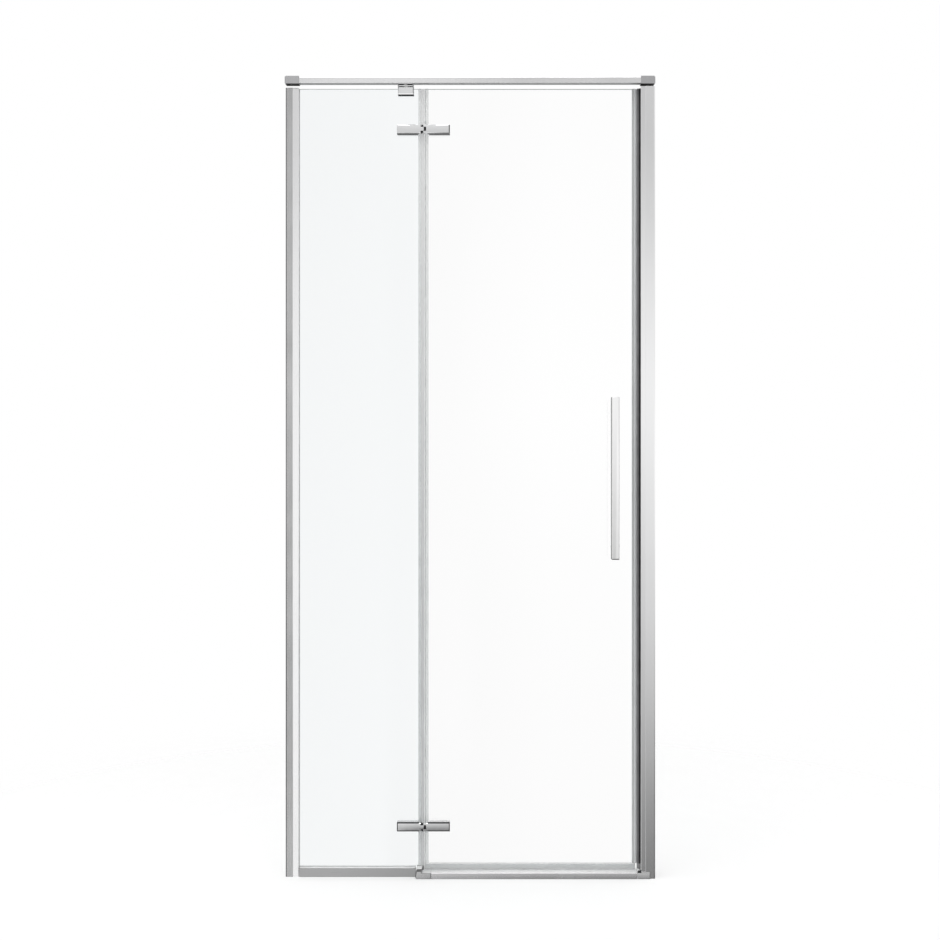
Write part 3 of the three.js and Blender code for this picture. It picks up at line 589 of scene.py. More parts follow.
@built_once
def clear_vinyl(tree, base, see_through, axis, clearing=0.0):
    """A soft clear seal: milky, with draw lines along its length, and clearer towards its top."""
    lines = drawn_lines(tree, axis, 1600.0, 6.0, 0.5)
    milky = shade_range(tree, pattern(tree, 18.0), base, 0.05)
    clearer = between(tree, coordinate(tree, "Z"), 0.0, clearing, 0.6, 1.95)
    inputs = {
        "Base Color": colour_mix(tree, clearer, milky, WHITE),
        "Roughness": between(tree, lines, 0.14, 0.28),
        "IOR": 1.42,
        "Transmission Weight": see_through,
        "Normal": bumped(tree, lines, 0.15),
    }
    return lamp_clear(tree, principled(tree, inputs), (0.85, 0.86, 0.86))


@built_once
def matt_rubber(tree, base, low, high, scale=700.0, shine=0.5):
    """A dull rubber or plastic with a fine grain and worn lighter patches."""
    grain = pattern(tree, scale, 3.0, 0.6)
    inputs = {
        "Base Color": shade_range(tree, pattern(tree, 45.0), base, 0.25),
        "Specular IOR Level": shine,
        "Roughness": between(tree, grain, low, high),
        "Normal": bumped(tree, grain, 0.2),
    }
    return principled(tree, inputs)


# The faces that look up on the threshold, its blocks and the bottom rail get this lighter, half-metal copy
# of the aluminium: painted light.
def top_light_paint(profiles):
    return drawn_metal("matt_top_aluminium", profiles.top_colour_painted_light, 0.62, "x", 0.5)


def chrome(fittings):
    return polished_metal("fitting_chrome", fittings.chrome, fittings.gloss)


def painted_shade_finish(fittings, name="edge_satin", grazing=0.12):
    """Painted shade: a near-black copy of the plating for edges, undersides and gaps, with the share of its
    shine that it keeps at a grazing angle.
    """
    return polished_metal(name, fittings.edge_shade_paint, fittings.gloss + 0.2, grazing)


def steel(fittings):
    return turned_steel("fastener_steel", fittings.steel)


# Black rubber for the strip behind the knuckles, the carrier's front lip and the block's pad, all painted
# shadow.
def rubber(seals):
    return matt_rubber("pad_rubber", seals.rubber, 0.5, 0.7, shine=0.12)


def foot_plastic(seals):
    return matt_rubber("foot_plastic", seals.foot, 0.35, 0.5)


# Pieces


class SHOWER_OT_wall_profiles(bpy.types.Operator):
    """Wall channels with a rounded outer corner, and the profiles that slide in them"""

    bl_idname = "shower_door.wall_profiles"
    bl_label = "Wall profiles"

    # The inner profiles' front corners nearer to the middle than this are the rounder ones.
    nose_reach = 0.43
    nose_radius = 0.0009

    def execute(self, context):
        profiles = context.scene.shower_profiles
        metal = drawn_metal("upright_aluminium", profiles.metal, profiles.gloss, "z")
        band = drawn_metal("band_aluminium", profiles.band_shade_paint, profiles.gloss, "z")
        for side, label in ((-1, "left"), (1, "right")):
            node = f"wall_channel_{label}"
            low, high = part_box(node)
            outer = low.x if side < 0 else high.x
            bm = merged_copy(node)
            for v in bm.verts:
                if on_plane(v.co.x, outer) and on_plane(v.co.y, low.y):
                    v.co.y += profiles.face_slope
            corner_y = low.y + profiles.face_slope
            cross_cuts(bm, "x", [outer - side * profiles.outer_band])
            for v in bm.verts:
                if on_plane(v.co.x, outer) and v.co.y < corner_y + ON_PLANE:
                    v.co.y += profiles.outer_drop
            round_sharp(bm, profiles.edge)
            keep_within(bm, node)
            edge = low.x + profiles.outer_band
            back = corner_y + profiles.outer_drop
            # The left channel's steeper band gets the darker copy, painted shade; the right band keeps the
            # plain metal.
            mark_faces(bm, lambda normal, middle: side < 0 and middle.x < edge and middle.y < back)
            name = f"outer_channel_{label}"
            add_piece(bm, name, FIXED, "aluminium_profile", [metal, band], node, smooth=12)
        for node, name in (
            ("glazing_profile_left", "glazing_extrusion_left"),
            ("strike_profile_right", "strike_extrusion_right"),
        ):
            bm = merged_copy(node)
            low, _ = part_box(node)
            nose = long_edges(bm, "z", lambda p: on_plane(p.y, low.y) and abs(p.x) < self.nose_reach)
            round_edges(bm, nose, self.nose_radius)
            round_sharp(bm, profiles.edge)
            add_piece(bm, name, FIXED, "aluminium_profile", [metal], node)
        return {"FINISHED"}


class SHOWER_OT_bottom_rail(bpy.types.Operator):
    """Bottom rail that holds the lower edge of the fixed pane"""

    bl_idname = "shower_door.bottom_rail"
    bl_label = "Bottom rail"

    # At the back, the edges this near to the rail's foot keep the small radius.
    foot_height = 0.001
    # How far the line of painted shade along the rounded front edges reaches back.
    line_depth = 0.0015

    def execute(self, context):
        profiles = context.scene.shower_profiles
        low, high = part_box("bottom_rail")
        front = low.y + self.line_depth

        def on_outside(p):
            if on_plane(p.y, low.y) and p.z < low.z + NEAR:
                return True
            return on_plane(p.y, low.y, high.y) and abs(p.z - low.z) > self.foot_height

        # Painted light on the top faces; painted shade on the rounded front edges.
        def finish(normal, middle):
            if normal.z > SQUARE:
                return 1
            return 2 if abs(normal.z) > 0.2 and middle.y < front else 0

        bm = merged_copy("bottom_rail")
        round_edges(bm, long_edges(bm, "x", on_outside), profiles.bottom_rail_edge, 4)
        round_sharp(bm, profiles.edge)
        mark_faces(bm, finish)
        metal = drawn_metal("bottom_rail_aluminium", profiles.rail_shade_paint, profiles.gloss + 0.14, "x")
        finishes = [metal, top_light_paint(profiles), painted_shade_finish(context.scene.shower_fittings)]
        add_piece(bm, "bottom_rail_extrusion", FIXED, "aluminium_profile", finishes, "bottom_rail")
        return {"FINISHED"}


class SHOWER_OT_header(bpy.types.Operator):
    """Header rail with its end brackets and wall plates"""

    bl_idname = "shower_door.header"
    bl_label = "Header rail"

    def execute(self, context):
        profiles = context.scene.shower_profiles
        fittings = context.scene.shower_fittings
        low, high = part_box("header_rail")

        def on_corner(p):
            return on_plane(p.y, low.y, high.y) and on_plane(p.z, low.z, high.z)

        bm = merged_copy("header_rail")
        round_edges(bm, long_edges(bm, "x", on_corner), profiles.rail_edge, 4)
        round_sharp(bm, profiles.edge, 1)
        # Faces looking down get the darker copy, painted shade on the rail's underside.
        mark_faces(bm, lambda normal, middle: normal.z < -SQUARE)
        finishes = [
            drawn_metal("rail_aluminium", profiles.metal, profiles.gloss + 0.06, "x"),
            drawn_metal("rail_underside", profiles.underside_shade_paint, 0.34, "x"),
        ]
        add_piece(bm, "header_rail_tube", FIXED, "aluminium_profile", finishes, "header_rail")
        plated = polished_metal("bracket_plating", fittings.bracket, fittings.gloss + 0.08)
        finishes = [plated, painted_shade_finish(fittings, "bracket_satin", 0.55)]
        for label in ("left", "right"):
            node = f"header_bracket_{label}"
            bm = merged_copy(node)
            round_sharp(bm, fittings.bracket_edge, 3)
            # Painted shade on the brackets' rounded sides and undersides.
            mark_faces(bm, lambda normal, middle: 0.3 < abs(normal.x) < 0.98 or normal.z < -0.5)
            add_piece(bm, f"header_sleeve_{label}", FIXED, "chrome_fitting", finishes, node)
            finish_node(f"header_wall_plate_{label}", plated)
        return {"FINISHED"}


class SHOWER_OT_glass_clamp(bpy.types.Operator):
    """Clamp that ties the fixed pane to the header rail, a jaw on each side of the glass"""

    bl_idname = "shower_door.glass_clamp"
    bl_label = "Glass clamp"

    # The faces in painted shade: the undersides of the foot and the front lip, and the lip's front below
    # its brow.
    foot_height = 0.004
    lip_depth = 0.008
    brow_height = 0.0014
    front_depth = 0.001

    def execute(self, context):
        fittings = context.scene.shower_fittings
        plated = chrome(fittings)
        low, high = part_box("glass_clamp_body")
        foot = low.z + self.foot_height
        lip = low.y + self.lip_depth
        brow = high.z - self.brow_height

        def in_line(normal, middle):
            if normal.z < -SQUARE:
                return middle.z < foot or middle.y < lip
            return foot < middle.z < brow and middle.y < low.y + self.front_depth

        bm = merged_copy("glass_clamp_body")
        round_sharp(bm, fittings.edge, 2, 30)
        cross_cuts(bm, "y", [lip])
        cross_cuts(bm, "z", [brow])
        mark_faces(bm, in_line)
        finishes = [plated, painted_shade_finish(fittings)]
        add_piece(bm, "clamp_jaw_front", FIXED, "chrome_fitting", finishes, "glass_clamp_body", smooth=15)
        add_plated("glass_clamp_plate", "clamp_jaw_back", FIXED, plated, fittings.edge)
        return {"FINISHED"}


class SHOWER_OT_hinges(bpy.types.Operator):
    """Hinge leaves with crowned faces, their back plates and pins"""

    bl_idname = "shower_door.hinges"
    bl_label = "Hinges"

    # Distances across from the hinge axis: the round knuckles, the gap at them, the leaf and its end.
    reach = 0.0062
    neck = 0.0085
    body = 0.0105
    end = 0.06
    # The lines of painted shade on the lower hinge: how deep the upper one is, and how high the lower one.
    top_depth = 0.0105
    line_height = 0.0028
    # The black strip behind the knuckles, painted shadow in their gaps: its place behind the axis, depth,
    # inset at its ends and edges.
    shadow_strip_back = 0.0054
    shadow_strip_depth = 0.001
    shadow_strip_inset = 0.0008
    shadow_strip_edge = 0.0003
    # How much of a leaf's front is crowned.
    crown_depth = 0.0012

    def at_knuckle(self, edge, axis):
        """Whether an edge belongs to the round end of a knuckle."""
        return not runs_along(edge, "z") and all(abs(v.co.x - axis) < self.reach for v in edge.verts)

    def is_painted_shade_face(self, part, level, low, axis, normal, middle):
        """Whether a face gets painted shade: an edge that shows as a dark line, or the gap at a knuckle."""
        away = abs(middle.x - axis)
        if away < self.neck:
            return normal.x > 0.15 if part == "fixed" else normal.x < -0.05
        if away > self.body and level == "upper" and normal.z < -SQUARE:
            return True
        if away > self.body and level == "lower":
            if normal.z > 0.25 and middle.y < low.y + self.top_depth:
                return True
            if middle.z < low.z + self.line_height:
                return True
        at_end = away > self.end and 0.25 < abs(normal.x) < 0.98
        return at_end and not (level == "upper" and normal.x < 0)

    def leaf(self, fittings, finishes, part, level, body, axis):
        """One leaf, with its knuckles chamfered, its front crowned and its lines of painted shade marked.
        """
        node = f"hinge_{part}_leaf_{level}"
        low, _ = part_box(node)
        bm = merged_copy(node)
        ends = [edge for edge in sharp_edges(bm) if self.at_knuckle(edge, axis)]
        round_edges(bm, ends, fittings.knuckle_chamfer, 1)
        round_sharp(bm, fittings.leaf_edge, 2, 50)
        crown_front(bm, low.y, self.crown_depth, fittings.crown)
        cross_cuts(bm, "x", [axis - self.body, axis + self.body])
        cross_cuts(bm, "y", [low.y + self.top_depth])
        cross_cuts(bm, "z", [low.z + self.line_height])
        mark_faces(bm, partial(self.is_painted_shade_face, part, level, low, axis))
        add_piece(bm, f"{part}_leaf_{level}", body, "chrome_fitting", finishes, node, smooth=20)

    def execute(self, context):
        fittings = context.scene.shower_fittings
        plated = chrome(fittings)
        dark = rubber(context.scene.shower_seals)
        painted_edge_shades = {"lower": painted_shade_finish(fittings), "upper": painted_shade_finish(fittings, "hinge_satin", 0.75)}
        for level, edge_shade_paint in painted_edge_shades.items():
            pin_low, pin_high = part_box(f"hinge_pin_{level}")
            axis = (pin_low.x + pin_high.x) / 2
            for part, body in (("fixed", FIXED), ("door", SWINGING)):
                self.leaf(fittings, [plated, edge_shade_paint], part, level, body, axis)
                name = f"{part}_back_plate_{level}"
                add_plated(f"hinge_{part}_plate_{level}", name, body, plated, fittings.edge)
            finish_node(f"hinge_pin_{level}", steel(fittings))
            low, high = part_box(f"hinge_fixed_leaf_{level}")
            back = (pin_low.y + pin_high.y) / 2 + self.shadow_strip_back
            # A black strip behind the knuckles, painted shadow in their gaps.
            add_block(
                f"knuckle_painted_shadow_strip_{level}",
                (axis - self.reach, back, low.z + self.shadow_strip_inset),
                (axis + self.reach, back + self.shadow_strip_depth, high.z - self.shadow_strip_inset),
                self.shadow_strip_edge,
                dark,
            )
        return {"FINISHED"}


class SHOWER_OT_panes(bpy.types.Operator):
    """Fixed pane and door pane of safety glass with ground edges"""

    bl_idname = "shower_door.panes"
    bl_label = "Panes"

    # Where the tint of the door pane reaches its full share, across.
    tint_end = 0.2

    def execute(self, context):
        glass = context.scene.shower_glass
        edge = ground_glass("ground_edge", glass.ground_edge)
        for node, body, name, tint, fade in (
            ("fixed_glass", FIXED, "fixed_pane", glass.fixed_tint, 0.02),
            ("door_glass", SWINGING, "door_pane", glass.door_tint, 0.03),
        ):
            low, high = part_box(node)
            clear = pane_glass(f"{name}_glass", tint, low.x, min(high.x, self.tint_end), fade)
            bm = merged_copy(node)
            round_sharp(bm, glass.arris, 1)
            mark_faces(bm, lambda normal, middle: abs(normal.y) < 0.99)
            add_piece(bm, name, body, "clear_glass", [clear, edge], node, smooth=20)
        return {"FINISHED"}


class SHOWER_OT_seals(bpy.types.Operator):
    """Clear edge seals, bottom seal and the gaskets of the fixed pane"""

    bl_idname = "shower_door.seals"
    bl_label = "Seals"

    # Long edges farther than this from the middle of the glass are rounded.
    half_depth = 0.003
    # The thick rim of the fixed edge seal, and the band of the strike seal from its inner side, both in
    # painted shade.
    rim_width = 0.001
    band_start = 0.0012
    band_end = 0.0034

    def rounded(self, node, axis, radius):
        bm = merged_copy(node)
        round_edges(bm, long_edges(bm, axis, lambda p: abs(p.y) > self.half_depth), radius, 2)
        return bm

    def mark_fixed_edge(self, bm, high):
        """Painted shade beyond the edge of the pane, and darker painted shade on the rim."""
        pane_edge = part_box("fixed_glass")[1].x
        rim_start = high.x - self.rim_width

        def finish(normal, middle):
            if middle.x > rim_start:
                return 1
            return 2 if middle.x > pane_edge else 0

        cross_cuts(bm, "x", [pane_edge])
        mark_faces(bm, finish)

    def mark_strike(self, bm, low):
        """The rim's painted shade on the sides and on an upright band."""
        start, stop = low.x + self.band_start, low.x + self.band_end
        cross_cuts(bm, "x", [start, stop])
        mark_faces(bm, lambda normal, middle: start < middle.x < stop or abs(normal.x) > 0.8)

    def bottom_seal(self, seals, rim):
        """The seal under the door, with thin upper lips in painted light and a band of painted shadow on
        its skirt.
        """
        low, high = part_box("door_bottom_seal")
        start = low.z + seals.skirt_start
        stop = start + seals.skirt_height
        lips = high.z - seals.lips_height
        bm = self.rounded("door_bottom_seal", "x", seals.edge)
        cross_cuts(bm, "z", [start, stop, lips])
        mark_faces(bm, lambda normal, middle: 2 if middle.z > lips else start < middle.z < stop)
        level = clear_vinyl("level_vinyl", seals.vinyl, 0.6, "x")
        thin = clear_vinyl("thin_vinyl", seals.thin_vinyl, 0.95, "x")
        add_piece(bm, "bottom_edge_seal", SWINGING, "clear_vinyl", [level, rim, thin], "door_bottom_seal")

    def seal_foot(self, seals):
        """A small foot on the left threshold block, which closes the lower end of the fixed edge seal."""
        seal_low, seal_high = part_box("fixed_edge_seal")
        _, bar_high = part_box("threshold_bar")
        gap = seals.foot_gap
        add_block(
            "seal_foot",
            (seal_high.x - seals.seal_foot_width, seal_low.y, bar_high.z + gap),
            (seal_high.x - gap, seal_high.y, seal_low.z - gap),
            seals.edge,
            foot_plastic(seals),
        )

    def execute(self, context):
        seals = context.scene.shower_seals
        rim = clear_vinyl("vinyl_rim", seals.vinyl_rim, 0.4, "z")
        lip = clear_vinyl("lip_vinyl", seals.lip_vinyl, 0.6, "z", 0.7)
        # The fixed and hinge seals get lighter copies of the clear vinyl, painted light.
        for node, body, name, tint, see_through, clearing in (
            ("fixed_edge_seal", FIXED, "pane_edge_seal", seals.smoky_vinyl, 0.75, 0.8),
            ("door_hinge_seal", SWINGING, "hinge_edge_seal", seals.clean_vinyl, 0.8, 0.8),
            ("door_strike_seal", SWINGING, "strike_edge_seal", seals.vinyl, 0.4, 0.0),
        ):
            upright = clear_vinyl(f"{name}_vinyl", tint, see_through, "z", clearing)
            low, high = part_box(node)
            bm = self.rounded(node, "z", seals.edge)
            if node == "fixed_edge_seal":
                self.mark_fixed_edge(bm, high)
            elif node == "door_strike_seal":
                self.mark_strike(bm, low)
            add_piece(bm, name, body, "clear_vinyl", [upright, rim, lip], node)
        self.bottom_seal(seals, rim)
        finish_node("side_gasket", matt_rubber("gasket_rubber", seals.gasket, 0.45, 0.6))
        # The bottom rail's gasket takes the paler copy, painted light.
        finish_node("rail_gasket", matt_rubber("rail_gasket_rubber", seals.pale_gasket_painted_light, 0.3, 0.4))
        self.seal_foot(seals)
        return {"FINISHED"}


class SHOWER_OT_magnets(bpy.types.Operator):
    """Magnet carrier on the strike profile, and both magnet strips"""

    bl_idname = "shower_door.magnets"
    bl_label = "Magnet strips"

    # The carrier's long edges farther than this from the middle of the glass are rounded.
    half_depth = 0.006
    carrier_edge = 0.0006
    # The black pad's corner, a painted shadow, from the right side and from the top of the threshold block.
    pad_from_side = 0.0301
    pad_below_top = 0.0028

    def execute(self, context):
        seals = context.scene.shower_seals
        black = rubber(seals)
        bm = merged_copy("magnet_carrier")
        sides = long_edges(bm, "z", lambda p: abs(p.y) > self.half_depth)
        round_edges(bm, sides, self.carrier_edge, 2)
        dark = matt_rubber("carrier_plastic", seals.carrier, 0.3, 0.45)
        add_piece(bm, "strike_carrier", FIXED, "grey_rubber", [dark], "magnet_carrier")
        carrier_low, carrier_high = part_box("magnet_carrier")
        # A black strip on the carrier's front, painted shadow in the crease beside the strike profile.
        edge = carrier_high.x - seals.lip_inset
        bm = block(
            (edge - seals.lip_width, carrier_low.y - seals.lip_depth, carrier_low.z),
            (edge, carrier_low.y, carrier_high.z),
        )
        front = long_edges(bm, "z", lambda p: p.y < carrier_low.y - ON_PLANE)
        round_edges(bm, front, seals.edge, 2)
        add_piece(bm, "carrier_painted_shadow_strip", FIXED, "grey_rubber", [black])
        block_low, block_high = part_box("threshold_block_right")
        gap = seals.foot_gap
        add_block(
            "carrier_foot",
            (carrier_low.x + seals.foot_inset, carrier_low.y, block_high.z + gap),
            (edge, carrier_high.y, carrier_low.z - gap),
            seals.edge,
            foot_plastic(seals),
        )
        # A black pad on the right block's peak, painted shadow in the gap in front of it.
        pad = Vector((seals.pad_width, seals.pad_depth, seals.pad_height))
        pad_foot = block_high.z - self.pad_below_top
        corner = Vector((block_high.x - self.pad_from_side, block_low.y - gap, pad_foot))
        add_block("block_painted_shadow_pad", corner, corner + pad, seals.edge, black)
        ferrite = matt_rubber("magnet_ferrite", seals.magnet, 0.4, 0.6, 1400.0)
        for node in ("strike_magnet", "door_magnet"):
            finish_node(node, ferrite)
        return {"FINISHED"}


class SHOWER_OT_threshold(bpy.types.Operator):
    """Threshold bar and its two end blocks"""

    bl_idname = "shower_door.threshold"
    bl_label = "Threshold"

    # How much of a front leans back.
    lean_depth = 0.002
    # How far the right block's plain end reaches past the end of the bar.
    joint_reach = 0.004

    def execute(self, context):
        profiles = context.scene.shower_profiles
        bm = merged_copy("threshold_bar")
        low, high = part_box("threshold_bar")
        front = long_edges(bm, "x", lambda p: on_plane(p.y, low.y) and p.z > high.z - NEAR)
        round_edges(bm, front, profiles.threshold_edge, 4)
        round_sharp(bm, profiles.edge, 2, 20)
        crown_front(bm, low.y, self.lean_depth, profiles.front_lean, crest=0.0)
        # Faces looking up get the lighter copy, painted light.
        mark_faces(bm, lambda normal, middle: normal.z > SQUARE)
        # The threshold's front is a darker copy of the aluminium, painted shade.
        metal = drawn_metal("low_aluminium", profiles.low_shade_paint, profiles.gloss + 0.08, "x")
        finishes = [metal, top_light_paint(profiles)]
        add_piece(bm, "threshold_extrusion", FIXED, "aluminium_profile", finishes, "threshold_bar")
        joint = high.x + self.joint_reach
        # For each block: its base colour, the grey of its painted shade, and the height above which its
        # front takes that shade.
        for label, base, shade, shade_start in (
            ("left", profiles.low_shade_paint, 0.2, 0.0175),
            ("right", profiles.metal, 0.55, 0.0142),
        ):
            node = f"threshold_block_{label}"
            low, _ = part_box(node)
            bm = merged_copy(node)
            round_sharp(bm, profiles.block_edge, 2, 15)
            crown_front(bm, low.y, self.lean_depth, profiles.front_lean, crest=0.0)
            cross_cuts(bm, "z", [shade_start])

            # Painted shade on the front above that height and on the rounded edges; painted light on the
            # top.
            def finish(normal, middle):
                if normal.y < -0.3 and middle.z > shade_start:
                    return 2
                if normal.z > SQUARE or (normal.z > 0.5 and abs(normal.x) > 0.5):
                    return 3
                at_joint = label == "right" and middle.x < joint
                return 0 if at_joint or max(abs(normal.x), abs(normal.y)) > 0.97 else 1

            mark_faces(bm, finish)
            finishes = [
                polished_metal(f"block_plating_{label}", base, 0.2),
                painted_shade_finish(context.scene.shower_fittings),
                polished_metal(f"block_shade_{label}", [shade] * 3, 0.3),
                top_light_paint(profiles),
            ]
            add_piece(bm, f"threshold_end_{label}", FIXED, "chrome_fitting", finishes, node, smooth=20)
        return {"FINISHED"}


class SHOWER_OT_handle(bpy.types.Operator):
    """Tall bar handle on two posts, with buttons inside the shower"""

    bl_idname = "shower_door.handle"
    bl_label = "Handle"

    # Corners nearer to the front than this belong to the CAD bar's own chamfers.
    chamfer_depth = 0.0015
    line_height = 0.0022
    post_edge = 0.0003

    def execute(self, context):
        fittings = context.scene.shower_fittings
        bm = merged_copy("handle_bar")
        low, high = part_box("handle_bar")
        middle_x = (low.x + high.x) / 2
        front = low.y + self.chamfer_depth
        # The chamfers go back to square corners, so that the wider roundings fit.
        for v in bm.verts:
            if v.co.y < front:
                v.co.x, v.co.y = low.x if v.co.x < middle_x else high.x, low.y
        merge_doubles(bm)
        right = long_edges(bm, "z", lambda p: p.y < front and p.x > middle_x)
        round_edges(bm, right, fittings.handle_round, 10)
        left = long_edges(bm, "z", lambda p: p.y < front and p.x < low.x + NEAR)
        round_edges(bm, left, fittings.handle_edge)
        round_sharp(bm, fittings.handle_end, 2, 50)
        line = low.z + self.line_height
        cross_cuts(bm, "z", [line])

        # Painted shade on the underside and a thin strip at the foot of the front; the left side gets a
        # copy of the chrome that keeps little shine at grazing angles, painted shade on that side.
        def finish(normal, middle):
            if normal.z < -0.3 or (middle.z < line and normal.y < -0.3):
                return 1
            return 2 if normal.x < -0.8 else 0

        mark_faces(bm, finish)
        finishes = [
            polished_metal("handle_chrome", fittings.handle, fittings.gloss),
            painted_shade_finish(fittings),
            polished_metal("handle_side", fittings.handle, fittings.gloss, 0.2),
        ]
        add_piece(bm, "handle_grip_bar", SWINGING, "chrome_fitting", finishes, "handle_bar")
        plated = chrome(fittings)
        for level in ("lower", "upper"):
            for part in ("post", "button"):
                node = f"handle_{part}_{level}"
                add_plated(node, f"{part}_{level}", SWINGING, plated, self.post_edge, 60)
        return {"FINISHED"}


class SHOWER_OT_fasteners(bpy.types.Operator):
    """Screws of the profiles, hinges, clamp and header"""

    bl_idname = "shower_door.fasteners"
    bl_label = "Fasteners"

    def execute(self, context):
        metal = steel(context.scene.shower_fittings)
        found = [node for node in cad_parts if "screw" in node]
        if not found:
            raise RuntimeError("the frame has no screws")
        for node in found:
            finish_node(node, metal)
        return {"FINISHED"}


# Stage


# What the white world gives to rays other than those of the camera, the metal and the glass.
WORLD_LIGHT = 0.75

# The floor is whole this far from the middle of the door, and gone this far from it, in metres.
FLOOR_WHOLE = 0.7
FLOOR_GONE = 2.2

# The wall behind the camera, in upright strips from left to right. Each is (X where it begins to take
# over, X where it has done so, greys as (share of the wall's height, grey)).
WALL_STRIPS = (
    (0.0, 0.0, ((0.0, 0.8), (0.2, 0.45), (0.5, 0.95), (0.75, 0.6), (1.0, 0.85))),
    (-2.3, -1.9, ((0.0, 0.3),)),
    (-1.55, -1.4, ((0.0, 1.0), (0.5, 0.97), (0.66, 0.9), (0.78, 0.66), (1.0, 0.8))),
    (-0.56, -0.46, ((0.09, 0.18), (0.27, 0.76), (0.5, 0.85), (0.69, 0.65), (0.9, 0.87))),
    (-0.12, 0.1, ((0.1, 0.2), (0.4, 0.6), (0.54, 0.95), (0.7, 0.75), (0.83, 0.45), (1.0, 0.55))),
    (0.96, 1.04, ((0.13, 0.2), (0.33, 0.66), (0.57, 0.95), (0.77, 0.56), (1.0, 0.7))),
    (1.7, 4.5, ((0.1, 0.12), (0.3, 0.62), (0.5, 1.0), (0.8, 0.7), (1.0, 0.85))),
)

# The other three walls, which show in the back and the sides only.
PLAIN_STRIPS = ((0.0, 0.0, ((0.0, 0.9), (0.25, 0.55), (0.5, 0.95), (0.72, 0.7), (1.0, 0.9))),)


def studio_world():
    """White where it is seen, reflected or looked at through glass, and a soft grey light on all else."""
    world = bpy.data.worlds.new("soft_studio")
    world.use_nodes = True
    tree = world.node_tree
    tree.nodes.clear()
    path = node_in(tree, "ShaderNodeLightPath").outputs
    shown = math_of(tree, "MAXIMUM", path["Is Camera Ray"], path["Is Glossy Ray"])
    seen = math_of(tree, "MAXIMUM", shown, path["Is Transmission Ray"])
    strength = between(tree, seen, WORLD_LIGHT, 1.0, 0.0, 1.0)
    sky = node_in(tree, "ShaderNodeBackground", {"Color": WHITE, "Strength": strength})
    node_in(tree, "ShaderNodeOutputWorld", {"Surface": sky.outputs["Background"]})
    return world


@built_once
def floor_surface(tree, base, glow):
    """A pale floor that keeps the object's shadow and fades into the white backdrop."""
    place = node_in(tree, "ShaderNodeTexCoord").outputs["Object"]
    away = node_in(tree, "ShaderNodeVectorMath", {0: place}, operation="LENGTH").outputs["Value"]
    fade = smooth_step(tree, away, FLOOR_WHOLE, FLOOR_GONE)
    path = node_in(tree, "ShaderNodeLightPath")
    bare = math_of(tree, "MAXIMUM", fade, path.outputs["Is Glossy Ray"])
    matt = node_in(tree, "ShaderNodeBsdfDiffuse", {"Color": (*base, 1.0)}).outputs["BSDF"]
    shine = node_in(tree, "ShaderNodeEmission", {"Color": WHITE, "Strength": glow}).outputs["Emission"]
    lit = node_in(tree, "ShaderNodeAddShader", {0: matt, 1: shine}).outputs["Shader"]
    clear = node_in(tree, "ShaderNodeBsdfTransparent").outputs["BSDF"]
    return shader_mix(tree, bare, lit, clear)


@built_once
def graded_card(tree, low, high, strips):
    """A studio wall whose greys run up it, with another run of greys in each upright strip."""
    sideways = coordinate(tree, "X")
    along = between(tree, coordinate(tree, "Z"), 0.0, 1.0, low, high)
    grey = ramp_in(tree, along, strips[0][2])
    for begin, finish, stops in strips[1:]:
        across = smooth_step(tree, sideways, begin, finish)
        grey = colour_mix(tree, across, grey, ramp_in(tree, along, stops))
    return node_in(tree, "ShaderNodeEmission", {"Color": grey, "Strength": 1.0}).outputs["Emission"]


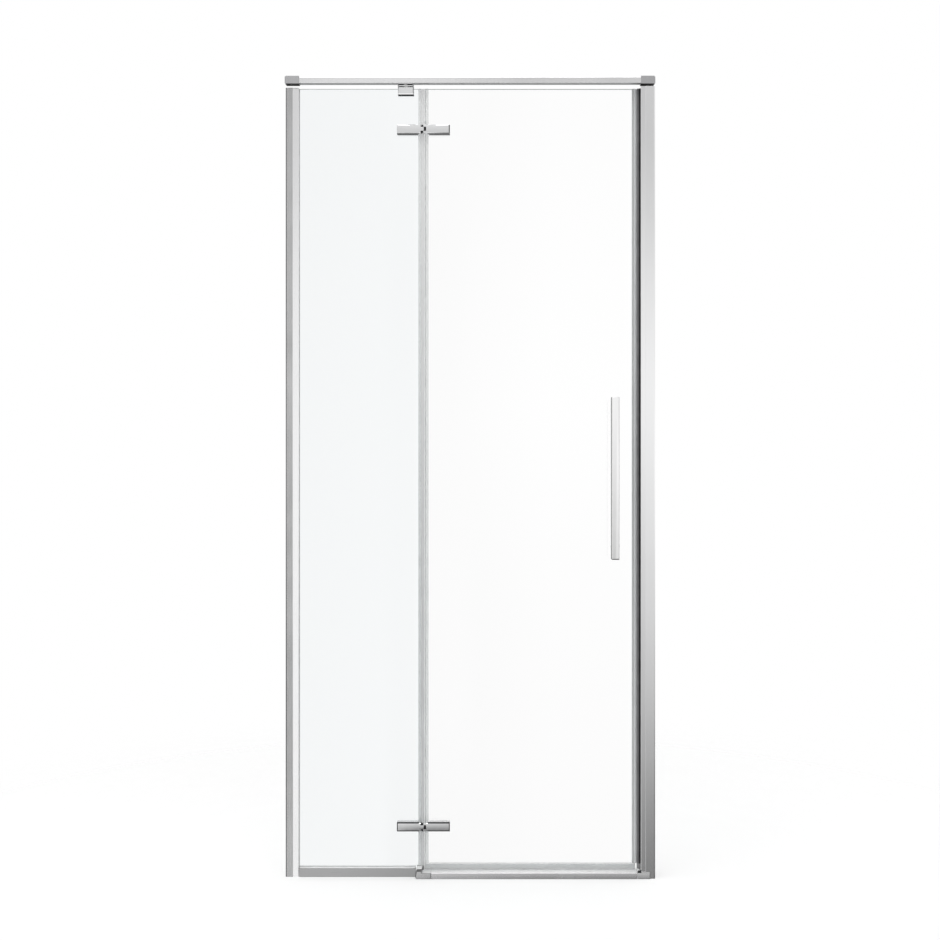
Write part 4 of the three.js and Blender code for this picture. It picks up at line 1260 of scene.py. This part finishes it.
class SHOWER_OT_stage(bpy.types.Operator):
    """Pale floor, soft lamps, white studio and the camera square to the door"""

    bl_idname = "shower_door.stage"
    bl_label = "Stage"

    floor_reach = 3.0
    wall_depth = 0.05
    # The distance of the side walls, as a share of the front wall's width.
    aside = 0.4
    # The point that the lamps face.
    aim = Vector((0.0, 0.0, 0.95))

    def placed(self, name, bm, material):
        """The object of a bmesh that belongs to the stage."""
        mesh = bpy.data.meshes.new(name)
        bm.to_mesh(mesh)
        bm.free()
        mesh.materials.append(material)
        thing = bpy.data.objects.new(name, mesh)
        bpy.context.scene.collection.objects.link(thing)
        return thing

    def studio_wall(self, name, greys, place, turn, width):
        """A graded wall that the metal reflects as it would a studio's, unseen by camera and glass."""
        stage = bpy.context.scene.shower_stage
        top = stage.wall_base + stage.wall_height
        foot = stage.wall_base - stage.wall_skirt
        bm = block((-width / 2, 0.0, foot), (width / 2, self.wall_depth, top))
        wall = self.placed(name, bm, graded_card(f"{name}_greys", stage.wall_base, top, greys))
        wall.location = (*place, 0.0)
        wall.rotation_euler = (0.0, 0.0, turn)
        wall.visible_camera = False
        wall.visible_transmission = False
        return wall

    def lamp(self, name, place, size, power):
        light = bpy.data.lights.new(name, "AREA")
        light.shape = "SQUARE"
        light.size = size
        light.energy = power
        holder = bpy.data.objects.new(name, light)
        bpy.context.scene.collection.objects.link(holder)
        holder.location = place
        holder.rotation_euler = (self.aim - Vector(place)).to_track_quat("-Z", "Y").to_euler()
        return holder

    def execute(self, context):
        stage = context.scene.shower_stage
        scene = context.scene
        bm = bmesh.new()
        bmesh.ops.create_grid(bm, x_segments=24, y_segments=24, size=self.floor_reach)
        floor = self.placed("studio_floor", bm, floor_surface("studio_floor", stage.floor, stage.glow))
        away, width = stage.wall_distance, stage.wall_width
        self.studio_wall("studio_wall", WALL_STRIPS, (0.0, -away), 0.0, width)
        aside = self.aside * width
        for name, place, turn in (
            ("back_wall", (0.0, away), 0.0),
            ("left_wall", (-aside, 0.0), math.pi / 2),
            ("right_wall", (aside, 0.0), math.pi / 2),
        ):
            wall = self.studio_wall(name, PLAIN_STRIPS, place, turn, 2 * away)
            wall.visible_diffuse = False
            wall.visible_shadow = False
        scene.world = studio_world()
        self.lamp("key_lamp", (-0.4, -1.2, 4.2), 2.4, stage.key_power)
        for name, place in (("left_lamp", (-3.4, -0.6, 1.4)), ("right_lamp", (3.4, 0.8, 1.4))):
            self.lamp(name, place, 1.8, stage.fill_power).visible_glossy = False
        data = bpy.data.cameras.new("square_camera")
        data.lens = stage.lens
        data.sensor_width = 36.0
        data.clip_end = 50.0
        camera = bpy.data.objects.new("square_camera", data)
        scene.collection.objects.link(camera)
        camera.location = (0.0, -stage.camera_distance, stage.camera_height)
        camera.rotation_euler = (math.radians(90), 0.0, 0.0)
        scene.camera = camera
        scene.view_settings.view_transform = "Standard"
        return {"FINISHED"}


OPERATORS = (
    SHOWER_OT_wall_profiles,
    SHOWER_OT_bottom_rail,
    SHOWER_OT_header,
    SHOWER_OT_glass_clamp,
    SHOWER_OT_hinges,
    SHOWER_OT_panes,
    SHOWER_OT_seals,
    SHOWER_OT_magnets,
    SHOWER_OT_threshold,
    SHOWER_OT_handle,
    SHOWER_OT_fasteners,
    SHOWER_OT_stage,
)


class SHOWER_PT_pieces(bpy.types.Panel):
    """Pieces and settings of the shower door"""

    bl_idname = "SHOWER_PT_pieces"
    bl_label = "Shower door"
    bl_space_type = "VIEW_3D"
    bl_region_type = "UI"
    bl_category = "Shower door"

    def draw(self, context):
        for operator in OPERATORS:
            self.layout.operator(operator.bl_idname)
        for name, group in SETTINGS.items():
            box = self.layout.box()
            for key in group.__annotations__:
                box.prop(getattr(context.scene, name), key)


CLASSES = (*SETTINGS.values(), *OPERATORS, SHOWER_PT_pieces)


def register():
    for item in CLASSES:
        bpy.utils.register_class(item)
    for name, group in SETTINGS.items():
        setattr(bpy.types.Scene, name, bpy.props.PointerProperty(type=group))


def unregister():
    for name in SETTINGS:
        delattr(bpy.types.Scene, name)
    for item in reversed(CLASSES):
        bpy.utils.unregister_class(item)


def main():
    register()
    for operator in OPERATORS:
        group, name = operator.bl_idname.split(".")
        getattr(getattr(bpy.ops, group), name)()


if __name__ == "__main__":
    main()
